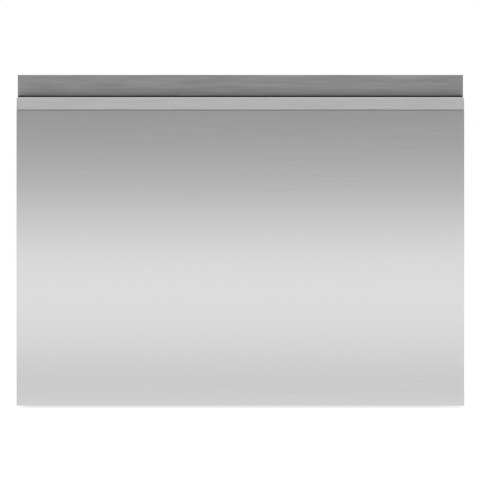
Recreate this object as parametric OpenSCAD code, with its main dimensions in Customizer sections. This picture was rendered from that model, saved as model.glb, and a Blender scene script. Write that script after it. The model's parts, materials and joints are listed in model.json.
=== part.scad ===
// Dishwasher drawer: a built-in cabinet that holds one pull-out wash tub behind a steel front.
// Units are millimetres. +Z is up, the door faces -Y, and the origin lies on the floor under
// the middle of the machine. The drawer is drawn closed.

/* [Door and handle] */
// Width of the door panel
door_w = 599; // [580:1:640]
// Height from the floor to the top of the handle strip
overall_h = 447; // [441:1:480]
// Depth from the door's face to the back edges of the side panels
overall_d = 573; // [565:1:620]
// Thickness of the door
door_t = 20; // [16:0.5:24]
// Air gap under the door
door_floor_gap = 3; // [2:0.5:8]
// Air gap between the door and the cabinet
door_back_gap = 2; // [1.5:0.5:4]
// Thickness of the door's steel skin
skin_t = 1; // [0.8:0.1:1.5]
// Height of the sloped band along the top of the door
band_h = 16.7; // [12:0.1:22]
// How far the sloped band leans back
band_lean = 6; // [3:0.5:8]
// Shadow gap between the door panel and the band
shadow_gap = 1.2; // [0.8:0.1:2]
// Thickness of the handle rail's upright lip
lip_t = 2.5; // [2:0.1:4]
// Room for the fingers behind the lip
finger_gap = 22; // [20:0.5:26]
// Depth of the finger pocket below the lip
pocket_drop = 34; // [28:1:38]
// Height of the handle strip above the lip
strip_rise = 31; // [27:0.5:34]
// Thickness of the handle strip
strip_t = 1.2; // [1:0.1:2]
// Depth of the fold along the handle strip's top
strip_fold = 9; // [6:0.5:9]
// Wall of the finger pocket's liner
liner_t = 1.5; // [1.2:0.1:2]
// How far the liner's edge stands above the lip
liner_proud = 2.4; // [1:0.1:3]

/* [Cabinet] */
// How far the door overlaps the cabinet at each side
door_overlap = 2; // [1:0.5:6]
// Thickness of the cabinet's sheet steel
sheet_t = 1; // [0.8:0.1:1.2]
// Height of the cabinet's underside above the floor
foot_h = 12; // [10:0.5:16]
// Travel of each levelling foot
foot_travel = 8; // [5:0.5:9]
// How far the front feet stand behind the cabinet's front edge
foot_setback = 58; // [40:1:80]
// Radius of a levelling foot's pad
foot_pad_r = 18; // [12:0.5:20]
// Radius of a levelling foot's threaded stem
foot_stem_r = 4; // [3:0.1:5]
// Height of the base tray's upturned edges
tray_edge_h = 16; // [12:0.5:20]
// How far the cabinet's top lies below the strip's top
top_drop = 5; // [4:0.5:8]
// How far the back panel is set in
back_inset = 14; // [13:0.5:18]
// Width of the folded edges of the sheet steel
fold_w = 8; // [5:0.5:9]
// Radius of the screw holes that fix the cabinet to a cupboard
fixing_hole_r = 2.6; // [2:0.1:3]

/* [Tub] */
// Wall of the wash tub
tub_wall = 2.5; // [2:0.1:3]
// Room between the side panel and the tub, for the runners
side_room = 28.5; // [27:0.5:36]
// Room between the tub and the back panel, for the folding link
back_room = 44; // [42:0.5:50]
// Depth of the control panel, front to back
panel_d = 23; // [21:0.5:28]
// Height of the tub's floor above the floor
tub_floor_z = 84; // [80:0.5:92]
// How far the tub's rim lies below the handle lip
rim_drop = 18; // [16:0.5:24]
// Width of the tub's rim
rim_w = 8; // [7:0.5:9]
// Corner radius of the tub
tub_corner_r = 24; // [16:1:26]
// Radius of the sump
sump_r = 80; // [74:1:90]
// Depth of the sump
sump_depth = 20; // [18:0.5:22]

/* [Runners] */
// How far the drawer pulls out
drawer_travel = 500; // [440:5:500]
// Length of each runner
runner_l = 500; // [500:1:515]
// Height of a runner
runner_h = 46; // [44:0.5:50]
// Thickness of a closed runner
runner_t = 12.6; // [12.2:0.1:14]
// Height of the runners' centre line
runner_z = 122; // [118:0.5:128]
// Diameter of the runners' balls
ball_d = 3; // [2.4:0.1:3]

/* [Lid] */
// Thickness of the tub's lid
lid_t = 11; // [9:0.5:12]
// Height of the lid's gasket
gasket_h = 7; // [5:0.5:8]
// How far the lid drops to seal the tub
lid_travel = 6; // [4:0.5:7]
// Gap between the lowered gasket and the rim
seal_gap = 0.3; // [0.2:0.1:0.5]
// Tooth size (module) of the lid's rack and pinion
tooth_m = 1; // [0.8:0.1:1.1]
// Teeth on a lid pinion
pinion_teeth = 16; // [14:2:18]

/* [Folding link] */
// Length of a link arm between its pivots
link_l = 400; // [390:1:410]
// Height of a link arm
link_h = 30; // [29:0.5:34]
// Width of a link arm
link_w = 20; // [19:0.5:21]
// Radius of the link's pivot pins
link_pin_r = 5; // [4:0.1:6]
// Radius of the drain hose
drain_hose_r = 7; // [6:0.1:7.5]
// Radius of the fill hose
fill_hose_r = 4; // [3:0.1:4.5]

/* [Wash system] */
// Width of the spray arm's blade
spray_w = 46; // [36:1:60]
// Thickness of the spray arm
spray_t = 14; // [10:0.5:16]
// Gap between the spray arm's tips and the tub
spray_clear = 12; // [8:1:24]
// Radius of the post that the spray arm turns on
post_r = 16; // [13:0.5:18]
// Radius of the pump's impeller
impeller_r = 30; // [24:0.5:34]
// Radius of the pump shaft
shaft_r = 4; // [3:0.1:5]
// Radius of the drain filter
filter_r = 28; // [24:0.5:30]

/* [Racks] */
// Diameter of the rack's wire
wire_d = 4; // [3.5:0.1:4.5]
// Gap between the rack and the tub's walls
rack_clear = 8; // [8:0.5:12]
// Height of the rack's floor above the floor
rack_z = 132; // [131:0.5:136]
// Height of the rack's front and back
rack_wall_h = 96; // [80:1:110]
// Height of the plate tines
tine_h = 72; // [60:1:76]
// Distance between tines in a row
tine_pitch = 33; // [28:1:40]
// Distance between rows of tines
tine_row_pitch = 84; // [82:1:88]
// Width of a cup rack
cup_rack_w = 108; // [90:1:120]
// How far the cup racks' hinge rods lie below the tub's rim
cup_rack_drop = 132; // [126:1:138]
// Width of the cutlery basket
basket_w = 230; // [160:2:250]
// Depth of the cutlery basket, front to back
basket_d = 68; // [56:1:72]
// Height of the cutlery basket
basket_h = 118; // [90:1:124]

/* [Dispenser and buttons] */
// Width of the detergent dispenser
dispenser_w = 168; // [150:1:200]
// Height of the detergent dispenser
dispenser_h = 84; // [76:1:88]
// How far the dispenser lies below the tub's rim
dispenser_drop = 34; // [30:1:38]
// Radius of the rinse aid cap
cap_r = 19; // [15:0.5:21]
// Radius of a control button
button_r = 6; // [5:0.1:7]
// Travel of a control button
button_travel = 1.2; // [0.8:0.1:1.6]
// Distance between buttons
button_pitch = 34; // [26:1:48]

/* [Hidden] */
$fn = 48;

// Working clearances
play = 0.05;        // radial play of a pin or shaft in its bore
slip = 0.3;         // gap between pieces that pass or lie beside each other
running = 0.6;      // gap between larger pieces that move past each other

// Door, front to back
face_y = -overall_d / 2;
door_back_y = face_y + door_t;
lip_y = face_y + band_lean;
liner_y = lip_y + lip_t;
strip_y = liner_y + liner_t + finger_gap;
strip_back_y = strip_y + strip_t;
panel_back_y = strip_back_y + panel_d;

// Door, bottom to top
lip_z = overall_h - strip_rise;
band_z = lip_z - band_h;
skin_top_z = band_z - shadow_gap;
pocket_z = lip_z - pocket_drop;
liner_leg = 4;

// Cabinet
cab_w = door_w - 2 * door_overlap;
side_x = cab_w / 2 - sheet_t;
cab_front_y = door_back_y + door_back_gap;
cab_back_y = overall_d / 2;
back_panel_y = cab_back_y - back_inset - sheet_t;
cab_top_z = overall_h - top_drop;
notch_y = strip_back_y + 8;
notch_z = pocket_z - 6;
tray_top_z = foot_h + sheet_t;
foot_boss_r = foot_stem_r + 5;
foot_boss_h = foot_travel + 5;
foot_pad_t = 5;
foot_x = side_x - foot_pad_r - 8;
foot_front_y = cab_front_y + foot_pad_r + foot_setback;
foot_back_y = back_panel_y - foot_pad_r - 2;

// Tub
tub_x = side_x - side_room;
tub_front_y = panel_back_y + rim_w + 4;
tub_back_y = back_panel_y - back_room;
tub_mid_y = (tub_front_y + tub_back_y) / 2;
tub_w = 2 * tub_x;
tub_d = tub_back_y - tub_front_y;
rim_z = lip_z - rim_drop;
rim_t = 4;
tub_floor_t = 3;
tub_inner_z = tub_floor_z + tub_floor_t;
sump_z = tub_floor_z - sump_depth;
ledge_w = rack_clear + 5;
ledge_z = rack_z - slip;

// Runners: three nested channels at each side
runner_sheet = 1.5;
runner_gap = ball_d + 0.2;
runner_x = side_x - runner_t;
runner_back_y = cab_front_y + 4 + runner_l;
mid_h = runner_h - 2 * runner_sheet - 2 * runner_gap;
inner_h = mid_h - 2 * runner_sheet - 2 * runner_gap;
mid_web_x = side_x - runner_sheet - running;
inner_web_x = mid_web_x - runner_sheet - running;

// Lid
gasket_top_z = rim_z + seal_gap + lid_travel + gasket_h;
lid_x = tub_x + rim_w + 3;
lid_margin = rim_w + 3;
pitch_r = tooth_m * pinion_teeth / 2;
tooth_pitch = PI * tooth_m;
pinion_t = 5;
rack_bar_x = lid_x + 1;
pinion_z = rim_z - 14;
pinion_y = tub_mid_y;
rack_pitch_y = pinion_y - pitch_r;
backlash = 0.3;

// Folding link: the back arm turns on the cabinet, the front arm turns on the back arm's end
link_pivot_x = -link_l / 2;
link_y = tub_back_y + back_room / 2;
link_z = 146;
link_gap = 2;
front_arm_z = link_z + link_h + link_gap;
link_wall = 2.5;
link_slot_play = 20;
slot_z = front_arm_z + link_h + slip;
slot_h = 16;
slot_half = 16;

// Wash system, centred in the tub
wash_y = tub_mid_y;
plate_z = tub_inner_z + 0.3;
plate_t = 2.4;
spray_z = plate_z + plate_t + 14;
spray_r = min(tub_w, tub_d) / 2 - tub_wall - spray_clear;
filter_x = 62;
filter_y = wash_y - 62;
filter_pit_r = filter_r + 8;

// Racks
rack_x = tub_x - tub_wall - rack_clear;
rack_front_y = tub_front_y + tub_wall + rack_clear;
rack_back_y = tub_back_y - tub_wall - rack_clear;
rack_w = 2 * rack_x;
rack_d = rack_back_y - rack_front_y;
wire_r = wire_d / 2;
rail_z = rack_z + wire_d + slip + wire_r;
basket_y = rack_front_y + wire_d + 3;
basket_z = rack_z + wire_d + slip;
row_y = basket_y + basket_d + 24;
tine_count = floor((rack_w - 44) / tine_pitch) + 1;
hinge_x = rack_x - wire_r;
cup_rack_l = rack_d - 90;
cup_rack_z = rim_z - cup_rack_drop;
eye_r = wire_r + 2;

// Dispenser in the tub's front wall
dispenser_z = rim_z - dispenser_drop - dispenser_h;
dispenser_y = tub_front_y + tub_wall;
dispenser_proud = 5;
dispenser_depth = 26;
cap_x = dispenser_w / 2 - cap_r - 8;
cap_z = dispenser_z + dispenser_h / 2;
flap_w = dispenser_w - 2 * cap_r - 28;
flap_h = dispenser_h - 20;
flap_t = 3;
flap_x = -dispenser_w / 2 + 8;
flap_z = dispenser_z + 8;
flap_y = dispenser_y + dispenser_proud + 3;

// Control panel
panel_z = lip_z + 6;
panel_x = tub_x + rim_w;
panel_low_z = pocket_z - liner_t;
button_y = (strip_back_y + panel_back_y) / 2;
button_top_z = panel_z + 1.5;
button_foot = 4.5;

// Colours
steel = [0.74, 0.75, 0.76];
zinc = [0.66, 0.68, 0.70];
dark = [0.14, 0.14, 0.15];
white = [0.90, 0.91, 0.92];
grey = [0.55, 0.57, 0.60];
blue = [0.30, 0.48, 0.70];

// ---- Shared shapes ----

module block(x0, x1, y0, y1, z0, z1) {
    translate([x0, y0, z0]) cube([x1 - x0, y1 - y0, z1 - z0]);
}

module rod_x(r, x0, x1, y, z) {
    translate([x0, y, z]) rotate([0, 90, 0]) cylinder(h = x1 - x0, r = r);
}

module rod_y(r, y0, y1, x, z) {
    translate([x, y0, z]) rotate([-90, 0, 0]) cylinder(h = y1 - y0, r = r);
}

module rod_z(r, z0, z1, x, y) {
    translate([x, y, z0]) cylinder(h = z1 - z0, r = r);
}

// A piece drawn for the right side, or its mirror image for the left
module on_side(side) {
    mirror([side < 0 ? 1 : 0, 0, 0]) children();
}

module both_sides() {
    for (side = [-1, 1]) on_side(side) children();
}

// An outline in the YZ plane, extruded from x0 to x1
module along_x(x0, x1) {
    translate([x0, 0, 0]) rotate([90, 0, 90]) linear_extrude(x1 - x0) children();
}

// An outline in the XZ plane, extruded from y0 to y1
module along_y(y0, y1) {
    translate([0, y1, 0]) rotate([90, 0, 0]) linear_extrude(y1 - y0) children();
}

module rounded(w, d, r) {
    square([w - 2 * r, d], center = true);
    square([w, d - 2 * r], center = true);
    for (x = [-1, 1], y = [-1, 1]) translate([x * (w / 2 - r), y * (d / 2 - r)]) circle(r);
}

module rounded_block(w, d, r, x, y, z0, z1) {
    translate([x, y, z0]) linear_extrude(z1 - z0) rounded(w, d, r);
}

// A flat net in the XY plane, w by d, of nx by ny open cells between bars of the wire's width
module net(w, d, nx, ny) {
    cell_w = (w - wire_d) / nx - wire_d;
    cell_d = (d - wire_d) / ny - wire_d;
    difference() {
        square([w, d], center = true);
        for (i = [0:nx - 1], j = [0:ny - 1]) {
            translate([-w / 2 + wire_d + i * (cell_w + wire_d), -d / 2 + wire_d + j * (cell_d + wire_d)])
                square([cell_w, cell_d]);
        }
    }
}

// ---- Cabinet ----

module base_tray() {
    edge = sheet_t + slip;
    color(zinc) difference() {
        union() {
            block(-side_x, side_x, cab_front_y, back_panel_y, foot_h, tray_top_z);
            both_sides() block(side_x - edge, side_x - slip, cab_front_y, back_panel_y,
                foot_h, foot_h + tray_edge_h);
            block(-side_x + edge, side_x - edge, back_panel_y - edge, back_panel_y - slip,
                foot_h, foot_h + tray_edge_h);
            for (x = [-foot_x, foot_x], y = [foot_front_y, foot_back_y])
                rod_z(foot_boss_r, tray_top_z - 0.01, tray_top_z + foot_boss_h, x, y);
            for (x = [-0.6, -0.2, 0.2, 0.6])
                rounded_block(30, 0.72 * tub_d, 10, x * side_x, wash_y,
                    tray_top_z - 0.01, tray_top_z + 1.5);
        }
        for (x = [-foot_x, foot_x], y = [foot_front_y, foot_back_y])
            rod_z(foot_stem_r + play, foot_h - 1, tray_top_z + foot_boss_h + 1, x, y);
    }
}

// Side panel, drawn for the right: a sheet with folded edges, cut away at the front for the handle
module side_panel(side) {
    flange_z = runner_h / 2 + 4;
    color(zinc) on_side(side) difference() {
        union() {
            along_x(side_x, side_x + sheet_t) polygon([
                [cab_front_y, foot_h], [cab_back_y, foot_h], [cab_back_y, cab_top_z - sheet_t],
                [notch_y, cab_top_z - sheet_t], [notch_y, notch_z], [cab_front_y, notch_z]]);
            block(side_x - fold_w, side_x + 0.01, cab_front_y, cab_front_y + sheet_t,
                tray_top_z + tray_edge_h, runner_z - flange_z);
            block(side_x - fold_w, side_x + 0.01, cab_front_y, cab_front_y + sheet_t,
                runner_z + flange_z, notch_z);
            block(side_x - fold_w, side_x + 0.01, cab_back_y - sheet_t, cab_back_y,
                foot_h, cab_top_z - sheet_t);
            for (y = [-0.32, 0, 0.32])
                along_x(side_x + sheet_t - 0.01, side_x + sheet_t + 0.8)
                    translate([y * tub_d + wash_y, (runner_z + cab_top_z) / 2])
                        rounded(90, 0.55 * (cab_top_z - runner_z), 14);
        }
        for (z = [fixing_low_z, fixing_high_z])
            rod_x(fixing_hole_r, side_x - fold_w - 1, side_x + 5, fixing_y, z);
    }
}
fixing_y = cab_front_y + 12;
fixing_low_z = runner_z - runner_h / 2 - 30;
fixing_high_z = notch_z - 30;

module back_panel() {
    color(zinc) difference() {
        union() {
            block(-side_x, side_x, back_panel_y, back_panel_y + sheet_t, foot_h, cab_top_z - sheet_t);
            for (x = [-0.5, 0, 0.5])
                along_y(back_panel_y + sheet_t - 0.01, back_panel_y + sheet_t + 3)
                    translate([x * side_x, (front_arm_z + link_h + cab_top_z) / 2])
                        rounded(0.4 * side_x, 0.55 * (cab_top_z - front_arm_z - link_h), 12);
        }
        rod_y(inlet_r + collar + 0.5, back_panel_y - 1, cab_back_y, inlet_x, inlet_z);
        rod_y(outlet_r + collar + 0.5, back_panel_y - 1, cab_back_y, outlet_x, outlet_z);
        rod_y(gland_r + 0.5, back_panel_y - 1, cab_back_y, gland_x, gland_z);
    }
}

module top_panel() {
    under_z = cab_top_z - sheet_t;
    color(zinc) union() {
        block(-side_x - sheet_t, side_x + sheet_t, notch_y, cab_back_y, under_z, cab_top_z);
        both_sides() block(side_x - sheet_t - slip, side_x - slip, notch_y, back_panel_y - slip,
            under_z - fold_w, under_z + 0.01);
        block(-side_x + sheet_t + slip, side_x - sheet_t - slip, notch_y, notch_y + sheet_t,
            under_z - fold_w / 2, under_z + 0.01);
        for (x = [-0.66, -0.33, 0, 0.33, 0.66])
            rounded_block(60, 0.74 * tub_d, 12, x * side_x, wash_y, cab_top_z - 0.01, cab_top_z + 1.5);
    }
}

// Cross-member under the tub's front. It stays below the wash motor's path.
module front_rail() {
    depth = 14;
    height = 13;
    color(zinc) along_x(-side_x + sheet_t + 2 * slip, side_x - sheet_t - 2 * slip) polygon([
        [cab_front_y + 1, tray_top_z], [cab_front_y + depth, tray_top_z],
        [cab_front_y + depth, tray_top_z + height],
        [cab_front_y + depth - sheet_t, tray_top_z + height],
        [cab_front_y + depth - sheet_t, tray_top_z + sheet_t],
        [cab_front_y + 1 + sheet_t, tray_top_z + sheet_t],
        [cab_front_y + 1 + sheet_t, tray_top_z + height], [cab_front_y + 1, tray_top_z + height]]);
}

module foot(x, y) {
    color(dark) union() {
        rod_z(foot_pad_r, 0, foot_pad_t, x, y);
        rod_z(foot_stem_r + 3, foot_pad_t - 0.01, foot_h - slip, x, y);
        rod_z(foot_stem_r, foot_h - slip - 0.01, tray_top_z + foot_boss_h - 1, x, y);
    }
}

// ---- Runners, drawn for the right side ----

// A channel that opens towards the tub, with its web at web_x
module channel(web_x, open_x, height, y0, y1) {
    difference() {
        block(open_x, web_x, y0, y1, runner_z - height / 2, runner_z + height / 2);
        block(open_x - 1, web_x - runner_sheet, y0 - 1, y1 + 1,
            runner_z - height / 2 + runner_sheet, runner_z + height / 2 - runner_sheet);
    }
}

module runners_outer() {
    color(zinc) both_sides()
        channel(side_x, runner_x, runner_h, runner_back_y - runner_l, runner_back_y);
}

module runners_middle() {
    color(steel) both_sides()
        channel(mid_web_x, runner_x, mid_h, runner_back_y - runner_l, runner_back_y - 2);
}

module runners_inner() {
    color(steel) both_sides()
        channel(inner_web_x, runner_x, inner_h, runner_back_y - runner_l, runner_back_y - 4);
}

// The balls ride with the middle member: the outer pairs at its back, the inner pairs at its front
module runner_balls() {
    ball_x = runner_x + (mid_web_x - runner_x) / 2;
    inner_ball_x = runner_x + (inner_web_x - runner_x) / 2;
    half = runner_l / 2;
    step = 40;
    color(steel) both_sides() for (up = [-1, 1], y = [20:step:half - 20]) {
        translate([ball_x, runner_back_y - y, runner_z + up * (mid_h / 2 + runner_gap / 2)])
            sphere(d = ball_d);
        translate([inner_ball_x, runner_back_y - half - y,
            runner_z + up * (inner_h / 2 + runner_gap / 2)]) sphere(d = ball_d);
    }
}

// ---- Door and handle ----

module door_skin() {
    half = door_w / 2;
    color(steel) difference() {
        block(-half, half, face_y, door_back_y, door_floor_gap, skin_top_z);
        block(-half + skin_t, half - skin_t, face_y + skin_t, door_back_y + 1,
            door_floor_gap + skin_t, skin_top_z - skin_t);
        // Clear of the finger pocket's liner
        block(-half - 1, half + 1, liner_y - liner_leg - slip, door_back_y + 1,
            pocket_z - liner_t - slip, skin_top_z + 1);
    }
}

// Extruded rail along the top of the door: the sloped band and the upright lip behind it
module handle_rail() {
    edge = 0.6;
    color(steel) along_x(-door_w / 2, door_w / 2) polygon([
        [face_y, band_z], [lip_y, lip_z - edge], [lip_y + edge, lip_z], [liner_y - edge, lip_z],
        [liner_y, lip_z - edge], [liner_y, skin_top_z + slip], [face_y + 3, skin_top_z + slip],
        [face_y + 3, band_z]]);
}

// Plastic liner of the finger pocket, with closed ends
module handle_liner() {
    half = door_w / 2 - 0.5;
    wall_y = liner_y + liner_t;
    color(dark) union() {
        along_x(-half, half) polygon([
            [liner_y, pocket_z], [strip_back_y, pocket_z], [strip_back_y, lip_z - 8],
            [strip_back_y + liner_t, lip_z - 8], [strip_back_y + liner_t, pocket_z - liner_t],
            [liner_y - liner_leg, pocket_z - liner_t], [liner_y - liner_leg, skin_top_z - skin_t - 6],
            [liner_y, skin_top_z - skin_t - 6]]);
        along_x(-half, half) polygon([
            [liner_y + 0.01, pocket_z - 0.01], [wall_y + 5, pocket_z - 0.01], [wall_y, pocket_z + 5],
            [wall_y, lip_z], [liner_y + 0.01, lip_z]]);
        block(-half + liner_t, half - liner_t, liner_y + 0.01, wall_y, lip_z - 0.01, lip_z + liner_proud);
        both_sides() block(half - liner_t, half, wall_y - 0.01, strip_y - slip,
            pocket_z - 0.01, lip_z - 2);
    }
}

module handle_strip() {
    fold_y = strip_y + strip_fold;
    color(steel) along_x(-door_w / 2, door_w / 2) polygon([
        [strip_y, pocket_z + slip], [strip_y, overall_h], [fold_y, overall_h],
        [fold_y, overall_h - strip_t], [strip_back_y, overall_h - strip_t],
        [strip_back_y, pocket_z + slip]]);
}

// Moulded pan that closes the door's back, and the sound pad that fills it
door_low_z = door_floor_gap + skin_t + slip;
door_high_z = pocket_z - liner_t - slip;
door_half = door_w / 2 - skin_t - slip;
pan_wall = 2.2;

module door_back() {
    color(grey) difference() {
        block(-door_half, door_half, face_y + skin_t + slip, door_back_y, door_low_z, door_high_z);
        block(-door_half + pan_wall, door_half - pan_wall, face_y + skin_t, door_back_y - pan_wall,
            door_low_z + pan_wall, door_high_z - pan_wall);
    }
}

module door_pad() {
    inset = pan_wall + slip;
    color(dark) block(-door_half + inset, door_half - inset, face_y + skin_t + slip,
        door_back_y - inset, door_low_z + inset, door_high_z - inset);
}

// Channels that join the door to the tub
bracket_t = 3;
bracket_flange = 24;
bracket_places = [tub_x - 75, dispenser_w / 2 + 13];
bracket_low_z = tub_floor_z + 6;

module door_brackets() {
    color(zinc) both_sides() for (x = bracket_places)
        translate([0, 0, bracket_low_z]) linear_extrude(panel_low_z - bracket_low_z) polygon([
            [x, door_back_y], [x + bracket_flange, door_back_y],
            [x + bracket_flange, door_back_y + bracket_t], [x + bracket_t, door_back_y + bracket_t],
            [x + bracket_t, tub_front_y - bracket_t], [x + bracket_flange, tub_front_y - bracket_t],
            [x + bracket_flange, tub_front_y], [x, tub_front_y]]);
}

module door_screws() {
    inner_y = door_back_y + bracket_t;
    color(zinc) both_sides() for (x = bracket_places, z = [0.15, 0.5, 0.85])
        rod_y(4, inner_y + slip, inner_y + 2.5, x + bracket_flange / 2 + bracket_t / 2,
            bracket_low_z + z * (panel_low_z - bracket_low_z));
}

// ---- Control panel ----

button_names = ["power", "program", "lock"];
function button_x(i) = panel_x - 60 - i * button_pitch;

panel_wall = 2;
board_z = panel_z - 13;
board_t = 1.6;
lens_w = 60;
lens_d = 8;
lens_t = 1.2;
lens_x = -panel_x + 90;

module control_panel() {
    color(grey) difference() {
        block(-panel_x, panel_x, strip_back_y + slip, panel_back_y, panel_low_z, panel_z);
        block(-panel_x + panel_wall, panel_x - panel_wall, strip_back_y + panel_wall,
            panel_back_y - panel_wall, panel_low_z - 1, panel_z - panel_wall);
        block(-panel_x - 1, panel_x + 1, strip_back_y, strip_back_y + liner_t + slip,
            panel_low_z - 1, lip_z - 8 + slip);
        for (i = [0:2])
            rod_z(button_r + slip, panel_z - panel_wall - 1, panel_z + 1, button_x(i), button_y);
        rounded_block(lens_w, lens_d, 3, lens_x, button_y, panel_z - lens_t, panel_z + 1);
    }
}

module display_lens() {
    color(dark) rounded_block(lens_w - 2 * slip, lens_d - 2 * slip, 3 - slip, lens_x, button_y,
        panel_z - lens_t, panel_z + 0.2);
}

// Circuit board with the buttons' switches and its larger components
module control_board() {
    half = panel_x - panel_wall - slip;
    y0 = strip_back_y + panel_wall + slip;
    y1 = panel_back_y - panel_wall - slip;
    top = board_z + board_t;
    switch_top = panel_z - button_foot - button_travel - slip;
    color([0.10, 0.35, 0.20]) union() {
        block(-half, half, y0, y1, board_z, top);
        for (i = [0:2]) rod_z(button_r - 2, top - 0.01, switch_top, button_x(i), button_y);
        block(-half + 20, -half + 110, y0 + 3, y1 - 3, top - 0.01, top + 6);
        for (x = [-80, -40, 0]) rod_z(5, top - 0.01, top + 7, x, button_y);
    }
}

module button(i) {
    under_z = panel_z - panel_wall - slip;
    color(steel) union() {
        rod_z(button_r, panel_z - button_foot, button_top_z, button_x(i), button_y);
        rod_z(button_r + 1.5, panel_z - button_foot, under_z, button_x(i), button_y);
    }
}

// ---- Tub ----

module tub_shell() {
    difference() {
        union() {
            rounded_block(tub_w, tub_d, tub_corner_r, 0, tub_mid_y, tub_floor_z, rim_z);
            rounded_block(tub_w + 2 * rim_w, tub_d + 2 * rim_w, tub_corner_r + rim_w, 0, tub_mid_y,
                rim_z - rim_t, rim_z);
            rod_z(sump_r, sump_z, tub_floor_z + 0.01, 0, wash_y);
            rod_z(filter_pit_r, sump_z, tub_floor_z + 0.01, filter_x, filter_y);
            // Rails that the runners are fixed to
            both_sides() block(tub_x - 0.01, runner_x + runner_t / 2, tub_front_y + 20, tub_back_y - 20,
                runner_z - inner_h / 2 + runner_sheet + slip, runner_z + inner_h / 2 - runner_sheet - slip);
        }
        rounded_block(tub_w - 2 * tub_wall, tub_d - 2 * tub_wall, tub_corner_r - tub_wall, 0, tub_mid_y,
            tub_inner_z, rim_z + 1);
        rod_z(sump_r - tub_wall, sump_z + tub_floor_t, tub_inner_z + 1, 0, wash_y);
        rod_z(filter_pit_r - tub_wall, sump_z + tub_floor_t, tub_inner_z + 1, filter_x, filter_y);
        rod_z(shaft_r + play, sump_z - 1, sump_z + tub_floor_t + 1, 0, wash_y);
        block(-dispenser_w / 2 - slip, dispenser_w / 2 + slip, tub_front_y - 1, dispenser_y + 1,
            dispenser_z - slip, dispenser_z + dispenser_h + slip);
    }
}

// Ledges on the tub's inner walls that the rack stands on
module rack_ledges() {
    both_sides() block(tub_x - tub_wall - ledge_w, tub_x - tub_wall + 0.01,
        tub_front_y + tub_corner_r, tub_back_y - tub_corner_r, ledge_z - 4, ledge_z);
}

// Slotted bracket on the tub's back, for the front arm's pin
module link_slot() {
    z0 = slot_z;
    z1 = slot_z + slot_h;
    slot_r = link_pin_r + slip;
    difference() {
        block(link_pivot_x - slot_half, link_pivot_x + slot_half, tub_back_y - 0.01,
            link_y + link_slot_play / 2 + slot_r + 3, z0, z1);
        for (y = [-1, 1])
            rod_z(slot_r, z0 - 1, z1 + 1, link_pivot_x, link_y + y * link_slot_play / 2);
        block(link_pivot_x - slot_r, link_pivot_x + slot_r, link_y - link_slot_play / 2,
            link_y + link_slot_play / 2, z0 - 1, z1 + 1);
    }
}

module tub() {
    color(grey) union() {
        tub_shell();
        rack_ledges();
        link_slot();
    }
}

// ---- Lid and its drive ----

module lid_plate() {
    w = 2 * lid_x;
    d = tub_d + 2 * lid_margin;
    rib = 2.5;
    color(white) difference() {
        rounded_block(w, d, tub_corner_r, 0, tub_mid_y, gasket_top_z, gasket_top_z + lid_t);
        for (i = [-2:2], j = [-1:1]) {
            cell_w = (w - 6 * rib - 40) / 5;
            cell_d = (d - 4 * rib - 40) / 3;
            rounded_block(cell_w, cell_d, 6, i * (cell_w + rib), tub_mid_y + j * (cell_d + rib),
                gasket_top_z + rib, gasket_top_z + lid_t + 1);
        }
    }
}

module lid_gasket() {
    color(dark) translate([0, tub_mid_y, gasket_top_z - gasket_h]) linear_extrude(gasket_h) difference() {
        rounded(tub_w + 2 * rim_w, tub_d + 2 * rim_w, tub_corner_r + rim_w);
        rounded(tub_w - 2 * tub_wall, tub_d - 2 * tub_wall, tub_corner_r - tub_wall);
    }
}

// Upright racks at the lid's sides, meshing with the pinions
module lid_racks() {
    low_z = pinion_z - lid_travel - 4;
    bar_w = 5;
    teeth = floor((gasket_top_z - 2 - low_z - lid_travel) / tooth_pitch);
    first = pinion_z - floor((pinion_z - low_z) / tooth_pitch) * tooth_pitch + tooth_pitch / 2;
    color(white) both_sides() union() {
        block(lid_x, rack_bar_x + pinion_t, rack_pitch_y - bar_w - 1.25 * tooth_m,
            rack_pitch_y - 1.25 * tooth_m, gasket_top_z + 1, gasket_top_z + lid_t - 2);
        block(rack_bar_x, rack_bar_x + pinion_t, rack_pitch_y - bar_w - 1.25 * tooth_m,
            rack_pitch_y - 1.25 * tooth_m, low_z, gasket_top_z + lid_t - 2);
        for (i = [0:teeth - 1]) rack_tooth(first + i * tooth_pitch);
    }
}

module rack_tooth(z) {
    half_root = tooth_pitch / 4 + 1.25 * tooth_m * tan(20) - backlash / 2;
    half_tip = tooth_pitch / 4 - tooth_m * tan(20) - backlash / 2;
    root_y = rack_pitch_y - 1.25 * tooth_m - 0.01;
    along_x(rack_bar_x, rack_bar_x + pinion_t) polygon([
        [root_y, z - half_root], [rack_pitch_y + tooth_m, z - half_tip],
        [rack_pitch_y + tooth_m, z + half_tip], [root_y, z + half_root]]);
}

// Straight-flanked pinion teeth: narrower at the tip, with the rack's pressure angle at the pitch line
function pinion_point(i, r, half_deg, side) =
    let (a = 360 * i / pinion_teeth + side * half_deg) [r * cos(a), r * sin(a)];

module pinion_outline() {
    tip_r = pitch_r + tooth_m;
    root_r = pitch_r - 1.25 * tooth_m;
    pitch_half = 90 / pinion_teeth - deg(backlash / 2 / pitch_r);
    root_half = pitch_half + 90 / pinion_teeth * 0.55;
    tip_half = pitch_half * 0.38;
    polygon([for (i = [0:pinion_teeth - 1]) each [
        pinion_point(i, root_r, root_half, -1), pinion_point(i, pitch_r, pitch_half, -1),
        pinion_point(i, tip_r, tip_half, -1), pinion_point(i, tip_r, tip_half, 1),
        pinion_point(i, pitch_r, pitch_half, 1), pinion_point(i, root_r, root_half, 1)]]);
}
function deg(radians) = radians * 180 / PI;

module lid_pinion(side) {
    color(white) on_side(side) translate([rack_bar_x, pinion_y, pinion_z]) rotate([90, 0, 90])
        linear_extrude(pinion_t) difference() {
            rotate(180) pinion_outline();
            circle(2 + play);
        }
}

actuator_front = 14; // from the pinion's axis to each face of the actuator's case
actuator_back = 30;
actuator_drop = 24;
actuator_rise = 14;

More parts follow.
